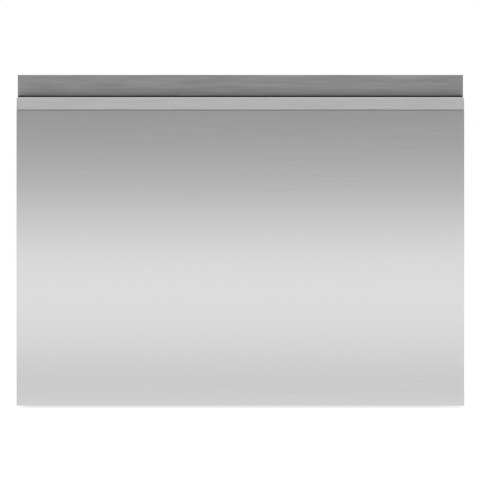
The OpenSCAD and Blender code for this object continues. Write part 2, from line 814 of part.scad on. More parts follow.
module lid_actuators() {
    case_x = rack_bar_x + pinion_t + slip;
    back_y = pinion_y + actuator_back;
    low_z = pinion_z - actuator_drop;
    high_z = pinion_z + actuator_rise;
    color(dark) both_sides() union() {
        block(case_x, side_x - slip, pinion_y - actuator_front, back_y, low_z, high_z);
        rod_x(2, rack_bar_x - 1, case_x + 0.01, pinion_y, pinion_z);
        block(rack_bar_x, case_x + 0.01, pinion_y + pitch_r + 4, back_y, low_z, high_z);
    }
}

// ---- Water and power inside the cabinet's back ----

inlet_in = 40;       // from the cabinet's side to the inlet's axis
outlet_pitch = 62;   // from the inlet's axis to the outlet's
gland_in = 50;
inlet_x = -side_x + inlet_in;
inlet_z = 62;
inlet_r = 13.2;
inlet_bore_r = 9;
outlet_x = inlet_x + outlet_pitch;
outlet_z = 52;
outlet_r = 9.5;
gland_x = side_x - gland_in;
gland_z = 60;
gland_r = 8;
cable_r = 4;
collar = 2;          // shoulder behind each hose spigot
spigot_y = back_panel_y + sheet_t + 1;
line_in = 14;        // from the back panel to the axis of each hose along it
line_y = back_panel_y - line_in;
valve_half = 17;     // half the width and height of the valve's body
valve_d = 26;
coil_r = 11;
coil_shift = 4;
coil_h = 27;
valve_stub = 9;      // nozzle that the fill hose is pushed on
drain_half = 12;
drain_d = 24;

module inlet_valve() {
    color(white) difference() {
        union() {
            block(inlet_x - valve_half, inlet_x + valve_half, back_panel_y - valve_d,
                back_panel_y - slip, inlet_z - valve_half, inlet_z + valve_half);
            rod_y(inlet_r + collar, back_panel_y - slip - 0.01, spigot_y, inlet_x, inlet_z);
            rod_y(inlet_r, spigot_y - 0.01, cab_back_y - 0.5, inlet_x, inlet_z);
            rod_z(coil_r, inlet_z + valve_half - 0.1, inlet_z + valve_half + coil_h,
                inlet_x - coil_shift, line_y);
            rod_x(fill_hose_r, inlet_x + valve_half - 0.1, inlet_x + valve_half + valve_stub,
                line_y, inlet_z);
        }
        rod_y(inlet_bore_r, back_panel_y - 6, cab_back_y + 1, inlet_x, inlet_z);
    }
}

module drain_outlet() {
    color(grey) difference() {
        union() {
            block(outlet_x - drain_half, outlet_x + drain_half, back_panel_y - drain_d,
                back_panel_y - slip, outlet_z - drain_half, outlet_z + drain_half);
            rod_y(outlet_r + collar, back_panel_y - slip - 0.01, spigot_y, outlet_x, outlet_z);
            rod_y(outlet_r, spigot_y - 0.01, cab_back_y - 0.5, outlet_x, outlet_z);
        }
        rod_y(outlet_r - 2, back_panel_y - 12, cab_back_y + 1, outlet_x, outlet_z);
    }
}

module_w = 138;
module_h = 76;
module_d = 30;
module_x1 = side_x - 12;
module_x0 = module_x1 - module_w;
module_z = tray_top_z + foot_boss_h + 4;
rib_count = 7;
rib_pitch = module_w / rib_count;
rib_w = 5;

module power_module() {
    color(dark) difference() {
        union() {
            block(module_x0, module_x1, back_panel_y - module_d, back_panel_y - slip,
                module_z, module_z + module_h);
            rod_y(gland_r, back_panel_y - slip - 0.01, cab_back_y - 2, gland_x, gland_z);
            for (i = [0:rib_count - 1], x = module_x0 + (i + 0.5) * rib_pitch)
                block(x - rib_w / 2, x + rib_w / 2, back_panel_y - module_d - rib_w / 2,
                    back_panel_y - module_d + 0.1, module_z + 2 * rib_w, module_z + module_h - 2 * rib_w);
        }
        rod_y(cable_r, back_panel_y - 8, cab_back_y + 1, gland_x, gland_z);
    }
}

plate_half = 22;     // half the width of the bracket's plate
plate_reach = 13;    // from the pivot to the plate's front edge
plate_leg = 24;      // leg that lies on the back panel
link_plate_t = 4;

module link_bracket() {
    z1 = link_z - slip;
    x0 = link_pivot_x - plate_half;
    x1 = link_pivot_x + plate_half;
    color(zinc) union() {
        block(x0, x1, link_y - plate_reach, back_panel_y - slip, z1 - link_plate_t, z1);
        block(x0, x1, back_panel_y - slip - sheet_t, back_panel_y - slip, z1 - plate_leg, z1);
        rod_z(link_pin_r, z1 - 0.01, link_z + link_h, link_pivot_x, link_y);
    }
}

// A quarter bend of a hose in the plane of direction a (first) and b (last), both unit vectors,
// from the end of a run along a. The bend's first point is p.
module bend(p, a, b, r, hose_r) {
    c = cross(a, b);
    multmatrix([
        [a[0], b[0], c[0], p[0]],
        [a[1], b[1], c[1], p[1]],
        [a[2], b[2], c[2], p[2]],
        [0, 0, 0, 1]])
        translate([0, r, 0]) rotate([0, 0, -90])
            rotate_extrude(angle = 90) translate([r, 0]) circle(hose_r);
}

bend_r = 12;
wire_line_r = 2.5;
module_line_z = 80;

// Hoses and cable from the fittings and the power module to the link's bracket
module cabinet_lines() {
    z1 = link_z - slip - link_plate_t - slip;
    fill_x = inlet_x + valve_half + valve_stub + slip;
    cable_x = outlet_x + drain_hose_r + 5;
    color(dark) {
        rod_z(drain_hose_r, outlet_z + drain_half + slip, z1, outlet_x, line_y);
        union() {
            bend([fill_x, line_y, inlet_z], [1, 0, 0], [0, 0, 1], bend_r, fill_hose_r);
            rod_z(fill_hose_r, inlet_z + bend_r, z1, fill_x + bend_r, line_y);
        }
        union() {
            rod_x(wire_line_r, cable_x + bend_r, module_x0 - slip, line_y, module_line_z);
            bend([cable_x + bend_r, line_y, module_line_z], [-1, 0, 0], [0, 0, 1],
                bend_r, wire_line_r);
            rod_z(wire_line_r, module_line_z + bend_r, z1, cable_x, line_y);
        }
    }
}

// Hoses and cable that ride on the drawer, from the link's slotted bracket
module drawer_lines() {
    drain_x = link_pivot_x - slot_half - slip - bend_r - 10;
    drain_y = tub_back_y + drain_hose_r + 2;
    drain_z = tub_floor_z - drain_hose_r - 1;
    drain_top = slot_z + slot_h / 2;
    fill_x = link_pivot_x - 6;
    fill_y = tub_back_y + fill_hose_r + 1;
    fill_top = rim_z - 70;
    cable_y = tub_back_y + wire_line_r + 1;
    cable_z = slot_z + slot_h / 2;
    cable_x = tub_x + wire_line_r + 0.5;
    cable_front_y = (strip_back_y + panel_back_y) / 2;
    color(dark) {
        union() {
            rod_x(drain_hose_r, drain_x + bend_r, -sump_r - slip, wash_y, drain_z);
            bend([drain_x + bend_r, wash_y, drain_z], [-1, 0, 0], [0, 1, 0], bend_r, drain_hose_r);
            rod_y(drain_hose_r, wash_y + bend_r, drain_y - bend_r, drain_x, drain_z);
            bend([drain_x, drain_y - bend_r, drain_z], [0, 1, 0], [0, 0, 1], bend_r, drain_hose_r);
            rod_z(drain_hose_r, drain_z + bend_r, drain_top - bend_r, drain_x, drain_y);
            bend([drain_x, drain_y, drain_top - bend_r], [0, 0, 1], [1, 0, 0],
                bend_r, drain_hose_r);
            rod_x(drain_hose_r, drain_x + bend_r, link_pivot_x - slot_half - slip,
                drain_y, drain_top);
        }
        union() {
            rod_z(fill_hose_r, slot_z + slot_h + slip, fill_top, fill_x, fill_y);
            rod_z(fill_hose_r + 3, fill_top - 0.01, fill_top + 20, fill_x, fill_y + 3 + slip - 1);
        }
        union() {
            rod_x(wire_line_r, link_pivot_x + slot_half + slip, cable_x - bend_r, cable_y, cable_z);
            bend([cable_x - bend_r, cable_y, cable_z], [1, 0, 0], [0, -1, 0], bend_r, wire_line_r);
            rod_y(wire_line_r, cable_front_y + bend_r, cable_y - bend_r, cable_x, cable_z);
            bend([cable_x, cable_front_y + bend_r, cable_z], [0, -1, 0], [0, 0, 1],
                bend_r, wire_line_r);
            rod_z(wire_line_r, cable_z + bend_r, board_z - slip, cable_x, cable_front_y);
        }
    }
}

module cabinet_screws() {
    head_r = 3.5;
    color(zinc) {
        both_sides() for (y = [-0.4, 0, 0.4])
            rod_z(head_r, cab_top_z + slip, cab_top_z + 2, side_x - 8, y * overall_d);
        for (x = [-0.85, 0.85], z = [0.35, 0.85])
            rod_y(head_r, back_panel_y + sheet_t + slip, back_panel_y + sheet_t + 2,
                x * side_x, z * cab_top_z);
    }
}

// ---- Folding link ----

// One arm along X from its pivot: an open channel with an eye at each end
module link_arm(x0, x1, z) {
    half = link_w / 2;
    difference() {
        union() {
            block(x0, x1, link_y - half, link_y + half, z, z + link_h);
            for (x = [x0, x1]) rod_z(half, z, z + link_h, x, link_y);
        }
        block(x0 + half + 8, x1 - half - 8, link_y - half - 1, link_y + half - link_wall,
            z + link_wall, z + link_h - link_wall);
    }
}

module link_arm_back() {
    x0 = link_pivot_x;
    x1 = link_pivot_x + link_l;
    color(white) difference() {
        union() {
            link_arm(x0, x1, link_z);
            rod_z(link_pin_r + 3, link_z + link_h - 0.01, front_arm_z - slip, x1, link_y);
            rod_z(link_pin_r, front_arm_z - slip - 0.01, front_arm_z + link_h, x1, link_y);
        }
        rod_z(link_pin_r + play, link_z - 1, link_z + link_h + 1, x0, link_y);
    }
}

module link_arm_front() {
    x0 = link_pivot_x;
    x1 = link_pivot_x + link_l;
    color(white) difference() {
        union() {
            link_arm(x0, x1, front_arm_z);
            rod_z(link_pin_r, front_arm_z + link_h - 0.01, front_arm_z + link_h + 6, x0, link_y);
        }
        rod_z(link_pin_r + play, front_arm_z - 1, front_arm_z + link_h + 1, x1, link_y);
    }
}

// The hoses that lie in one arm's channel
module link_hoses(z) {
    x0 = link_pivot_x + link_w / 2 + 8 + slip;
    x1 = link_pivot_x + link_l - link_w / 2 - 8 - slip;
    drain_z = z + link_wall + slip + drain_hose_r;
    fill_z = z + link_h - link_wall - slip - fill_hose_r;
    color(dark) rod_x(drain_hose_r, x0, x1, link_y + link_w / 2 - link_wall - slip - drain_hose_r, drain_z);
    color(dark) rod_x(fill_hose_r, x0, x1, link_y + link_w / 2 - link_wall - slip - fill_hose_r, fill_z);
}

// ---- Wash system ----

motor_room = 14;     // from the sump's wall in to the motor's
motor_h = 30;
motor_cap_h = 4;      // end cap, narrower than the motor
motor_cap_in = 14;

module wash_motor() {
    motor_r = sump_r - motor_room;
    z0 = sump_z - motor_h;
    color(dark) difference() {
        union() {
            rod_z(motor_r, z0 + motor_cap_h, sump_z - slip, 0, wash_y);
            rod_z(motor_r - motor_cap_in, z0, z0 + motor_cap_h + 0.01, 0, wash_y);
            for (a = [0:30:330]) translate([0, wash_y, z0 + 8]) rotate(a)
                block(motor_r - 1, motor_r + 4, -1.5, 1.5, 0, 18);
        }
        rod_z(shaft_r + play, z0 + 6, sump_z + 1, 0, wash_y);
    }
}

shaft_reach = 22;    // how far the pump's shaft reaches down into the motor
impeller_h = 11;
impeller_disc = 2.5;
vane_h = 9.5;

module pump_rotor() {
    z0 = sump_z + tub_floor_t + 2;
    color(white) union() {
        rod_z(shaft_r, sump_z - shaft_reach, z0 + impeller_h + 1, 0, wash_y);
        rod_z(impeller_r, z0, z0 + impeller_disc, 0, wash_y);
        rod_z(shaft_r + 5, z0, z0 + impeller_h, 0, wash_y);
        for (a = [0:60:300]) translate([0, wash_y, z0]) rotate(a)
            block(shaft_r + 3, impeller_r - 1, -1, 1, impeller_disc - 0.01, vane_h);
    }
}

module heater_plate() {
    z0 = sump_z + tub_floor_t + slip;
    color(steel) difference() {
        rod_z(sump_r - tub_wall - 2, z0, z0 + 3, 0, wash_y);
        rod_z(impeller_r + 6, z0 - 1, z0 + 4, 0, wash_y);
        rod_z(filter_r + 4, z0 - 1, z0 + 4, filter_x, filter_y);
    }
}

// Perforated plate over the sump, with the post that the spray arm turns on
plate_overlap = 44;  // how far the filter plate reaches past the sump

module filter_plate() {
    plate_r = sump_r + plate_overlap;
    color(grey) difference() {
        union() {
            rod_z(plate_r, plate_z, plate_z + plate_t, 0, wash_y);
            rod_z(post_r + 8, plate_z, spray_z - slip, 0, wash_y);
            rod_z(post_r, plate_z, spray_z + spray_t + 3, 0, wash_y);
        }
        rod_z(post_r - 3, plate_z - 1, spray_z + spray_t + 1, 0, wash_y);
        rod_z(filter_r + slip, plate_z - 1, plate_z + plate_t + 1, filter_x, filter_y);
        for (ring = [0:2], a = [0:15:345]) {
            angle = a + ring * 7.5;
            r = post_r + 20 + ring * 30;
            if (norm([r * cos(angle) - filter_x, r * sin(angle) - filter_y + wash_y]) > filter_r + 8)
                translate([0, wash_y, plate_z - 1]) rotate(angle)
                    translate([r, 0, 0]) cylinder(h = plate_t + 2, r = 2.5);
        }
    }
}

module spray_arm() {
    reach = spray_r - spray_w / 2;
    color(grey) translate([0, wash_y, spray_z]) difference() {
        union() {
            rounded_block(2 * spray_r, spray_w, spray_w / 2 - 0.5, 0, 0, 2, spray_t - 2);
            rounded_block(2 * spray_r - 40, spray_w - 18, spray_w / 2 - 10, 0, 0, 1, spray_t);
            cylinder(h = spray_t, r = post_r + 10);
        }
        translate([0, 0, -1]) cylinder(h = spray_t + 2, r = post_r + play);
        for (x = [0.3, 0.5, 0.7, 0.9], side = [-1, 1])
            translate([side * x * reach, side * 6, spray_t / 2]) cylinder(h = spray_t, r = 1.6);
    }
}

module drain_filter() {
    z0 = sump_z + tub_floor_t + slip;
    top = plate_z + plate_t;
    color(blue) translate([filter_x, filter_y, 0]) difference() {
        union() {
            translate([0, 0, z0]) cylinder(h = top - z0, r = filter_r);
            translate([0, 0, top + slip]) cylinder(h = 2, r = filter_r + 5);
            translate([0, 0, top - 0.01]) cylinder(h = slip + 0.02, r = filter_r - 1);
        }
        translate([0, 0, z0 + 2]) cylinder(h = top, r = filter_r - 2);
        for (a = [0:30:330]) rotate(a) translate([filter_r - 3, -2, z0 + 4])
            cube([4, 4, top - z0 - 8]);
    }
    color(blue) translate([filter_x, filter_y, top + slip])
        block(-filter_r + 1, filter_r - 1, -1.5, 1.5, -2, 8);
}

// ---- Dispenser ----

module dispenser_body() {
    z1 = dispenser_z + dispenser_h;
    half = dispenser_w / 2;
    back_y = dispenser_y - dispenser_depth;
    color(white) difference() {
        union() {
            along_y(dispenser_y + slip, dispenser_y + dispenser_proud)
                translate([0, (dispenser_z + z1) / 2]) rounded(dispenser_w + 16, dispenser_h + 12, 10);
            block(-half, half, back_y, dispenser_y + slip + 0.01, dispenser_z, z1);
            // Ears of the flap's hinge
            for (x = [flap_x, flap_x + flap_w - 4]) {
                rod_x(3, x, x + 4, flap_y, flap_z);
                block(x, x + 4, dispenser_y + dispenser_proud - 0.01, flap_y, flap_z - 3, flap_z + 3);
            }
            rod_x(1.5, flap_x + 3, flap_x + flap_w - 3, flap_y, flap_z);
        }
        block(flap_x + 5, flap_x + flap_w - 5, back_y + 2, dispenser_y + dispenser_proud + 1,
            flap_z + 6, flap_z + flap_h - 4);
        rod_y(cap_r + slip, dispenser_y - 6, dispenser_y + dispenser_proud + 1, cap_x, cap_z);
    }
}

module dispenser_lid() {
    color(grey) difference() {
        union() {
            along_y(flap_y - flap_t / 2, flap_y + flap_t / 2)
                translate([flap_x + flap_w / 2, flap_z + flap_h / 2 + 2]) rounded(flap_w, flap_h - 4, 5);
            rod_x(3, flap_x + 4 + slip, flap_x + flap_w - 4 - slip, flap_y, flap_z);
            block(flap_x + 4 + slip, flap_x + flap_w - 4 - slip, flap_y - flap_t / 2,
                flap_y + flap_t / 2, flap_z, flap_z + 10);
        }
        rod_x(1.5 + play, flap_x, flap_x + flap_w, flap_y, flap_z);
    }
}

module rinse_cap() {
    z1 = dispenser_y + dispenser_proud;
    color(blue) union() {
        rod_y(cap_r, dispenser_y - 5, z1 + 2, cap_x, cap_z);
        translate([cap_x, z1 + 1.99, cap_z]) rotate([0, 30, 0])
            block(-cap_r + 3, cap_r - 3, 0, 4, -2, 2);
    }
}

// ---- Racks ----

fold_row_y = row_y + 2 * tine_row_pitch;

module base_rack() {
    nx = round(rack_w / 46);
    ny = round(rack_d / 46);
    wall_z0 = rack_z + wire_d + slip;
    color(blue) {
        translate([0, (rack_front_y + rack_back_y) / 2, rack_z]) linear_extrude(wire_d)
            net(rack_w, rack_d, nx, ny);
        for (y = [rack_front_y, rack_back_y - wire_d])
            along_y(y, y + wire_d) translate([0, wall_z0 + rack_wall_h / 2]) net(rack_w, rack_wall_h, nx, 2);
        both_sides() rack_side(ny);
        for (i = [0, 1, 3]) if (row_y + i * tine_row_pitch < rack_back_y - 2 * wire_d)
            tine_row(row_y + i * tine_row_pitch);
        for (i = [-2.5, 0.5, 2.5]) tine_clip(i * tine_pitch, fold_row_y);
    }
}

// Side of the rack, drawn for the right, with the rod that the cup rack hinges on
module rack_side(ny) {
    y0 = rack_front_y + wire_d + slip;
    y1 = rack_back_y - wire_d - slip;
    z0 = rack_z + wire_d + slip;
    z1 = cup_rack_z - eye_r - slip;
    mid_y = (y0 + y1) / 2;
    union() {
        along_x(rack_x - wire_d, rack_x) translate([mid_y, (z0 + z1) / 2]) net(y1 - y0, z1 - z0, ny, 3);
        for (y = [-1, 1])
            along_x(rack_x - wire_d, rack_x)
                translate([mid_y + y * (cup_rack_l / 2 + 6), (z1 + cup_rack_z) / 2])
                    square([wire_d, cup_rack_z - z1 + 2 * wire_r], center = true);
        rod_y(wire_r, mid_y - cup_rack_l / 2 - 6, mid_y + cup_rack_l / 2 + 6, hinge_x, cup_rack_z);
    }
}

// A row of upright tines on a rail that lies on the rack's floor
module tine_row(y) {
    first_x = -(tine_count - 1) * tine_pitch / 2;
    union() {
        rod_x(wire_r, first_x - 8, -first_x + 8, y, rail_z);
        for (i = [0:tine_count - 1])
            rod_z(wire_r, rail_z, rail_z + tine_h, first_x + i * tine_pitch, y);
    }
}

// Clip on the rack's floor that the folding row's rail turns in
module tine_clip(x, y) {
    difference() {
        block(x - 4, x + 4, y - wire_r - 2, y + wire_r + 2, rack_z + wire_d + slip, rail_z + wire_r + 2);
        rod_x(wire_r + play, x - 5, x + 5, y, rail_z);
    }
}

module tine_row_folding() {
    color(blue) tine_row(fold_row_y);
}

// Cup rack, drawn for the right: a net with clips round the rack's hinge rod
module cup_rack(side) {
    eye_w = 8;
    mid_y = (rack_front_y + rack_back_y) / 2;
    color(blue) on_side(side) difference() {
        union() {
            translate([hinge_x - eye_r - cup_rack_w / 2, mid_y, cup_rack_z - wire_r])
                linear_extrude(wire_d) net(cup_rack_w, cup_rack_l, 3, 9);
            for (y = [-1, 0, 1]) {
                ey = mid_y + y * (cup_rack_l / 2 - 20);
                rod_y(eye_r, ey - eye_w / 2, ey + eye_w / 2, hinge_x, cup_rack_z);
                block(hinge_x - eye_r - 1, hinge_x, ey - eye_w / 2, ey + eye_w / 2,
                    cup_rack_z - wire_r, cup_rack_z + wire_r);
            }
        }
        rod_y(wire_r + play, mid_y - cup_rack_l / 2 - 9, mid_y + cup_rack_l / 2 + 9, hinge_x, cup_rack_z);
    }
}

module cutlery_basket() {
    wall = 2;
    cells = 4;
    cell_w = (basket_w - (cells + 1) * wall) / cells;
    slot_w = 5;
    color(grey) translate([0, basket_y + basket_d / 2, basket_z]) difference() {
        union() {
            linear_extrude(basket_h) rounded(basket_w, basket_d, 2 * wall);
            along_x(-wall, wall) polygon([[-basket_d / 2 + 8, basket_h - 0.01],
                [-12, basket_h + 26], [12, basket_h + 26], [basket_d / 2 - 8, basket_h - 0.01]]);
        }
        for (i = [0:cells - 1])
            block(-basket_w / 2 + wall + i * (cell_w + wall),
                -basket_w / 2 + wall + i * (cell_w + wall) + cell_w,
                -basket_d / 2 + wall, basket_d / 2 - wall, wall, basket_h - (i == 1 || i == 2 ? 0 : -1));
        block(-wall - 1, wall + 1, -10, 10, basket_h + 6, basket_h + 20);
        for (i = [0:cells - 1], j = [0:2])
            block(-basket_w / 2 + wall + i * (cell_w + wall) + cell_w * (j + 0.7) / 3.4 - slot_w / 2,
                -basket_w / 2 + wall + i * (cell_w + wall) + cell_w * (j + 0.7) / 3.4 + slot_w / 2,
                -basket_d, basket_d, 14, basket_h - 18);
    }
}

// ---- The nodes ----

base_tray();
side_panel(-1);  // side_panel_left
side_panel(1);  // side_panel_right
back_panel();
top_panel();
front_rail();
runners_outer();
lid_actuators();
inlet_valve();
drain_outlet();
power_module();
link_bracket();
cabinet_lines();
cabinet_screws();
foot(-foot_x, foot_front_y);  // foot_front_left
foot(foot_x, foot_front_y);  // foot_front_right
foot(-foot_x, foot_back_y);  // foot_back_left
foot(foot_x, foot_back_y);  // foot_back_right
runners_middle();
runner_balls();
door_skin();
handle_rail();
handle_liner();
handle_strip();
door_back();
door_pad();
door_brackets();
door_screws();
control_panel();
control_board();
display_lens();
tub();
runners_inner();
drawer_lines();
filter_plate();
heater_plate();
wash_motor();
dispenser_body();
base_rack();
cutlery_basket();
lid_plate();
lid_gasket();
lid_racks();
lid_pinion(-1);  // lid_pinion_left
lid_pinion(1);  // lid_pinion_right
link_arm_back();
link_hoses(link_z);  // link_hoses_back
link_arm_front();
link_hoses(front_arm_z);  // link_hoses_front
spray_arm();
pump_rotor();
drain_filter();
cup_rack(-1);  // cup_rack_left
cup_rack(1);  // cup_rack_right
tine_row_folding();
dispenser_lid();
rinse_cap();
button(0);  // button_power
button(1);  // button_program
button(2);  // button_lock
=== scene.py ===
"""Dishwasher drawer: finishes, detailed pieces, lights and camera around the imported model.

Lengths are metres in the part's frame: +Z is up, the door faces -Y and the floor is z = 0.
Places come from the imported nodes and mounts; a length that they don't give is a named value here.
"""
import json
import math

import bmesh
import bpy
from mathutils import Matrix, Vector

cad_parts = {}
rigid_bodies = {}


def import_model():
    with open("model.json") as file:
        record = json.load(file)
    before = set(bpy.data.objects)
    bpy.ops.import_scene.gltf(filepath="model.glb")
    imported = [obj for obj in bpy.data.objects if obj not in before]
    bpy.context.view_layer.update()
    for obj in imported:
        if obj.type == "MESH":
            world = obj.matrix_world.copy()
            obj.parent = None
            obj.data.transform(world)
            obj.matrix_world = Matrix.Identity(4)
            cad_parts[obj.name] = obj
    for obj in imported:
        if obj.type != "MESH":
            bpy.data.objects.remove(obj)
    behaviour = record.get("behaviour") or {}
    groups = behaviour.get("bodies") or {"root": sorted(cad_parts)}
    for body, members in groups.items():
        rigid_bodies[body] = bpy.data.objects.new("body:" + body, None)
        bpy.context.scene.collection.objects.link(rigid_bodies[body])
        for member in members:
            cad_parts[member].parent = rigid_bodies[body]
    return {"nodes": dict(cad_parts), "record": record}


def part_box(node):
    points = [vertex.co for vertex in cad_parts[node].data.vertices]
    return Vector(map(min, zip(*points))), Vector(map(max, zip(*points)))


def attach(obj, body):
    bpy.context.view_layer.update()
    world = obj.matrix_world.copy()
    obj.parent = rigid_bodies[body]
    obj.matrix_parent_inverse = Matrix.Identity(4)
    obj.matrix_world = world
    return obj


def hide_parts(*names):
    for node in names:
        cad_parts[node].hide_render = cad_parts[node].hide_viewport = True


for leftover in list(bpy.data.objects):
    bpy.data.objects.remove(leftover)

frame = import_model()
nodes = frame["nodes"]
mounts = {mount["name"]: mount["pos_m"] for mount in frame["record"]["mounts"]}
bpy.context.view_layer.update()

MM = 0.001


# ---- Finishes ----

class Finish:
    """A procedural material: a Principled shader and the textures that vary it."""

    def __init__(self, name, slot, color, roughness, metallic=0.0, **sockets):
        self.slot = slot
        self.color = Vector(color)
        self.material = bpy.data.materials.new(name)
        self.material.use_nodes = True
        self.tree = self.material.node_tree
        self.shader = self.tree.nodes["Principled BSDF"]
        self.shader.inputs["Base Color"].default_value = (*color, 1)
        self.shader.inputs["Roughness"].default_value = roughness
        self.shader.inputs["Metallic"].default_value = metallic
        for socket, value in sockets.items():
            self.shader.inputs[socket.replace("_", " ")].default_value = value
        self.coords = self.tree.nodes.new("ShaderNodeTexCoord").outputs["Object"]
        self.normal = None

    def texture(self, kind, output, stretch=(1, 1, 1), **values):
        """Output of a texture node over object coordinates, each axis scaled by stretch."""
        mapping = self.tree.nodes.new("ShaderNodeMapping")
        mapping.inputs["Scale"].default_value = stretch
        self.tree.links.new(self.coords, mapping.inputs["Vector"])
        node = self.tree.nodes.new(kind)
        for key, value in values.items():
            if hasattr(node, key):
                setattr(node, key, value)
            else:
                node.inputs[key.replace("_", " ")].default_value = value
        self.tree.links.new(mapping.outputs["Vector"], node.inputs["Vector"])
        return node.outputs[output]

    def noise(self, scale, stretch=(1, 1, 1), detail=2.0):
        return self.texture("ShaderNodeTexNoise", 0, stretch, Scale=scale, Detail=detail)

    def cells(self, scale, output="Distance", **values):
        return self.texture("ShaderNodeTexVoronoi", output, Scale=scale, **values)

    def remap(self, value, low, high, start=0.3, end=0.7):
        """value from start to end becomes low to high, and is held there outside."""
        node = self.tree.nodes.new("ShaderNodeMapRange")
        self.tree.links.new(value, node.inputs["Value"])
        for key, number in (("From Min", start), ("From Max", end), ("To Min", low), ("To Max", high)):
            node.inputs[key].default_value = number
        return node.outputs["Result"]

    def tint(self, value, dark, light, start=0.3, end=0.7):
        """Base colour runs from dark to light times the finish's own colour as value rises."""
        mix = self.tree.nodes.new("ShaderNodeMix")
        mix.data_type = "RGBA"
        self.tree.links.new(self.remap(value, 0, 1, start, end), mix.inputs["Factor"])
        for socket, share in (("A", dark), ("B", light)):
            shade = self.color * share
            color_input = next(i for i in mix.inputs if i.name == socket and i.type == "RGBA")
            color_input.default_value = (*(min(1.0, c) for c in shade), 1)
        result = next(o for o in mix.outputs if o.type == "RGBA")
        self.tree.links.new(result, self.shader.inputs["Base Color"])

    def polish(self, value, low, high, start=0.3, end=0.7):
        """Roughness runs from low to high as value rises."""
        self.tree.links.new(self.remap(value, low, high, start, end), self.shader.inputs["Roughness"])

    def relief(self, value, height, strength=1.0):
        """Adds bumps of a height in metres to those already there."""
        bump = self.tree.nodes.new("ShaderNodeBump")
        bump.inputs["Strength"].default_value = strength
        bump.inputs["Distance"].default_value = height
        self.tree.links.new(value, bump.inputs["Height"])
        if self.normal:
            self.tree.links.new(self.normal, bump.inputs["Normal"])
        self.normal = bump.outputs["Normal"]
        self.tree.links.new(self.normal, self.shader.inputs["Normal"])


def brushed(name, slot, color, roughness, streak, stretch):
    """Steel brushed along X: fine streaks, and reflections drawn out across them.

    streak is how far their shade strays, and stretch scales their noise on each axis.
    """
    steel = Finish(name, slot, color, roughness, 1.0, Anisotropic=0.5, Anisotropic_Rotation=0.25)
    fine = steel.noise(1.0, stretch, detail=3)
    steel.tint(fine, 1 - streak, 1 + streak)
    steel.polish(fine, roughness - 0.02, roughness + 0.03)
    steel.relief(fine, 0.002 * MM, 0.25)
    return steel


def galvanised(name, slot, color):
    """Zinc-coated sheet: crystals that each have their own shade, run together at their edges."""
    crystals_a_metre = 120
    zinc = Finish(name, slot, color, 0.42, 1.0)
    crystal = zinc.cells(crystals_a_metre, "Color", feature="SMOOTH_F1", Smoothness=0.3, Randomness=1.0)
    zinc.tint(crystal, 0.93, 1.03, 0.2, 0.8)
    zinc.polish(zinc.noise(260, detail=4), 0.36, 0.50)
    zinc.relief(zinc.noise(35), 0.05 * MM, 0.3)
    return zinc


def moulded(name, slot, color, roughness, grain=0.02, **sockets):
    """Moulded plastic: spark-eroded grain of a height in mm, and a faint drift of shade."""
    plastic = Finish(name, slot, color, roughness, **sockets)
    plastic.tint(plastic.noise(9, detail=4), 0.96, 1.03)
    plastic.polish(plastic.noise(60), roughness - 0.04, roughness + 0.05)
    plastic.relief(plastic.noise(1400, detail=1), grain * MM, 0.6)
    return plastic


def turned(name, slot, color, roughness):
    """Bright machined steel with faint scratches."""
    steel = Finish(name, slot, color, roughness, 1.0)
    steel.polish(steel.noise(500, detail=3), roughness - 0.05, roughness + 0.12)
    steel.tint(steel.noise(40), 0.92, 1.04)
    return steel


def rubber(name, slot, color, roughness=0.6):
    """Matt rubber with an uneven, finely pitted skin."""
    soft = Finish(name, slot, color, roughness)
    soft.tint(soft.noise(120, detail=4), 0.8, 1.25)
    soft.relief(soft.noise(900), 0.03 * MM, 0.5)
    return soft


FRONT = brushed("front_steel", "front_steel", (0.74, 0.74, 0.74), 0.22, 0.02, (7, 2200, 2200))
RAIL = brushed("rail_steel", "front_steel", (0.74, 0.74, 0.74), 0.24, 0.03, (20, 300, 300))
# The handle strip is the same steel as the front: its darker colour, 0.58 against 0.74, is painted shade
# of the handle's pocket.
STRIP_PAINTED_SHADE = brushed("strip_steel_painted_shade", "front_steel", (0.58, 0.58, 0.58), 0.33, 0.10, (20, 300, 300))
ZINC = galvanised("galvanised_sheet", "galvanised", (0.50, 0.515, 0.53))
RUNNER = turned("runner_steel", "runner_steel", (0.70, 0.71, 0.73), 0.30)
BRIGHT = turned("bright_steel", "bright_steel", (0.78, 0.79, 0.80), 0.16)
# Its low specular level keeps the handle liner's painted shadow line dark.
DARK = moulded("dark_plastic", "dark_plastic", (0.022, 0.022, 0.024), 0.5, Specular_IOR_Level=0.3)
GREY = moulded("grey_plastic", "grey_plastic", (0.42, 0.44, 0.46), 0.42)
TUB = moulded("tub_plastic", "tub_plastic", (0.52, 0.54, 0.56), 0.32, grain=0.008, Coat_Weight=0.15)
WHITE = moulded("white_plastic", "white_plastic", (0.80, 0.81, 0.81), 0.38)
BLUE = moulded("blue_plastic", "blue_plastic", (0.10, 0.24, 0.48), 0.24, grain=0.004, Coat_Weight=0.4)
BUTTON = moulded("button_plastic", "button_plastic", (0.60, 0.61, 0.62), 0.28, grain=0.004)
FOOT = moulded("foot_plastic", "foot_plastic", (0.045, 0.045, 0.048), 0.5)
GASKET = rubber("gasket_rubber", "gasket_rubber", (0.05, 0.05, 0.055))
LINE = rubber("line_rubber", "line_rubber", (0.03, 0.03, 0.033), 0.5)


def coated_wire():
    """Nylon-dipped wire: smooth, slightly uneven coat."""
    nylon = Finish("rack_coating", "rack_coating", (0.25, 0.30, 0.36), 0.34)
    nylon.tint(nylon.noise(55, detail=3), 0.93, 1.05)
    nylon.relief(nylon.noise(140), 0.12 * MM, 0.35)
    return nylon


def pressed_felt():
    """Felt whose fibres show as fine specks and bumps."""
    felt = Finish("felt", "felt", (0.06, 0.06, 0.065), 0.95, Sheen_Weight=0.4)
    fibres = felt.noise(700, detail=6)
    felt.tint(fibres, 0.55, 1.5)
    felt.relief(fibres, 0.5 * MM, 0.8)
    return felt


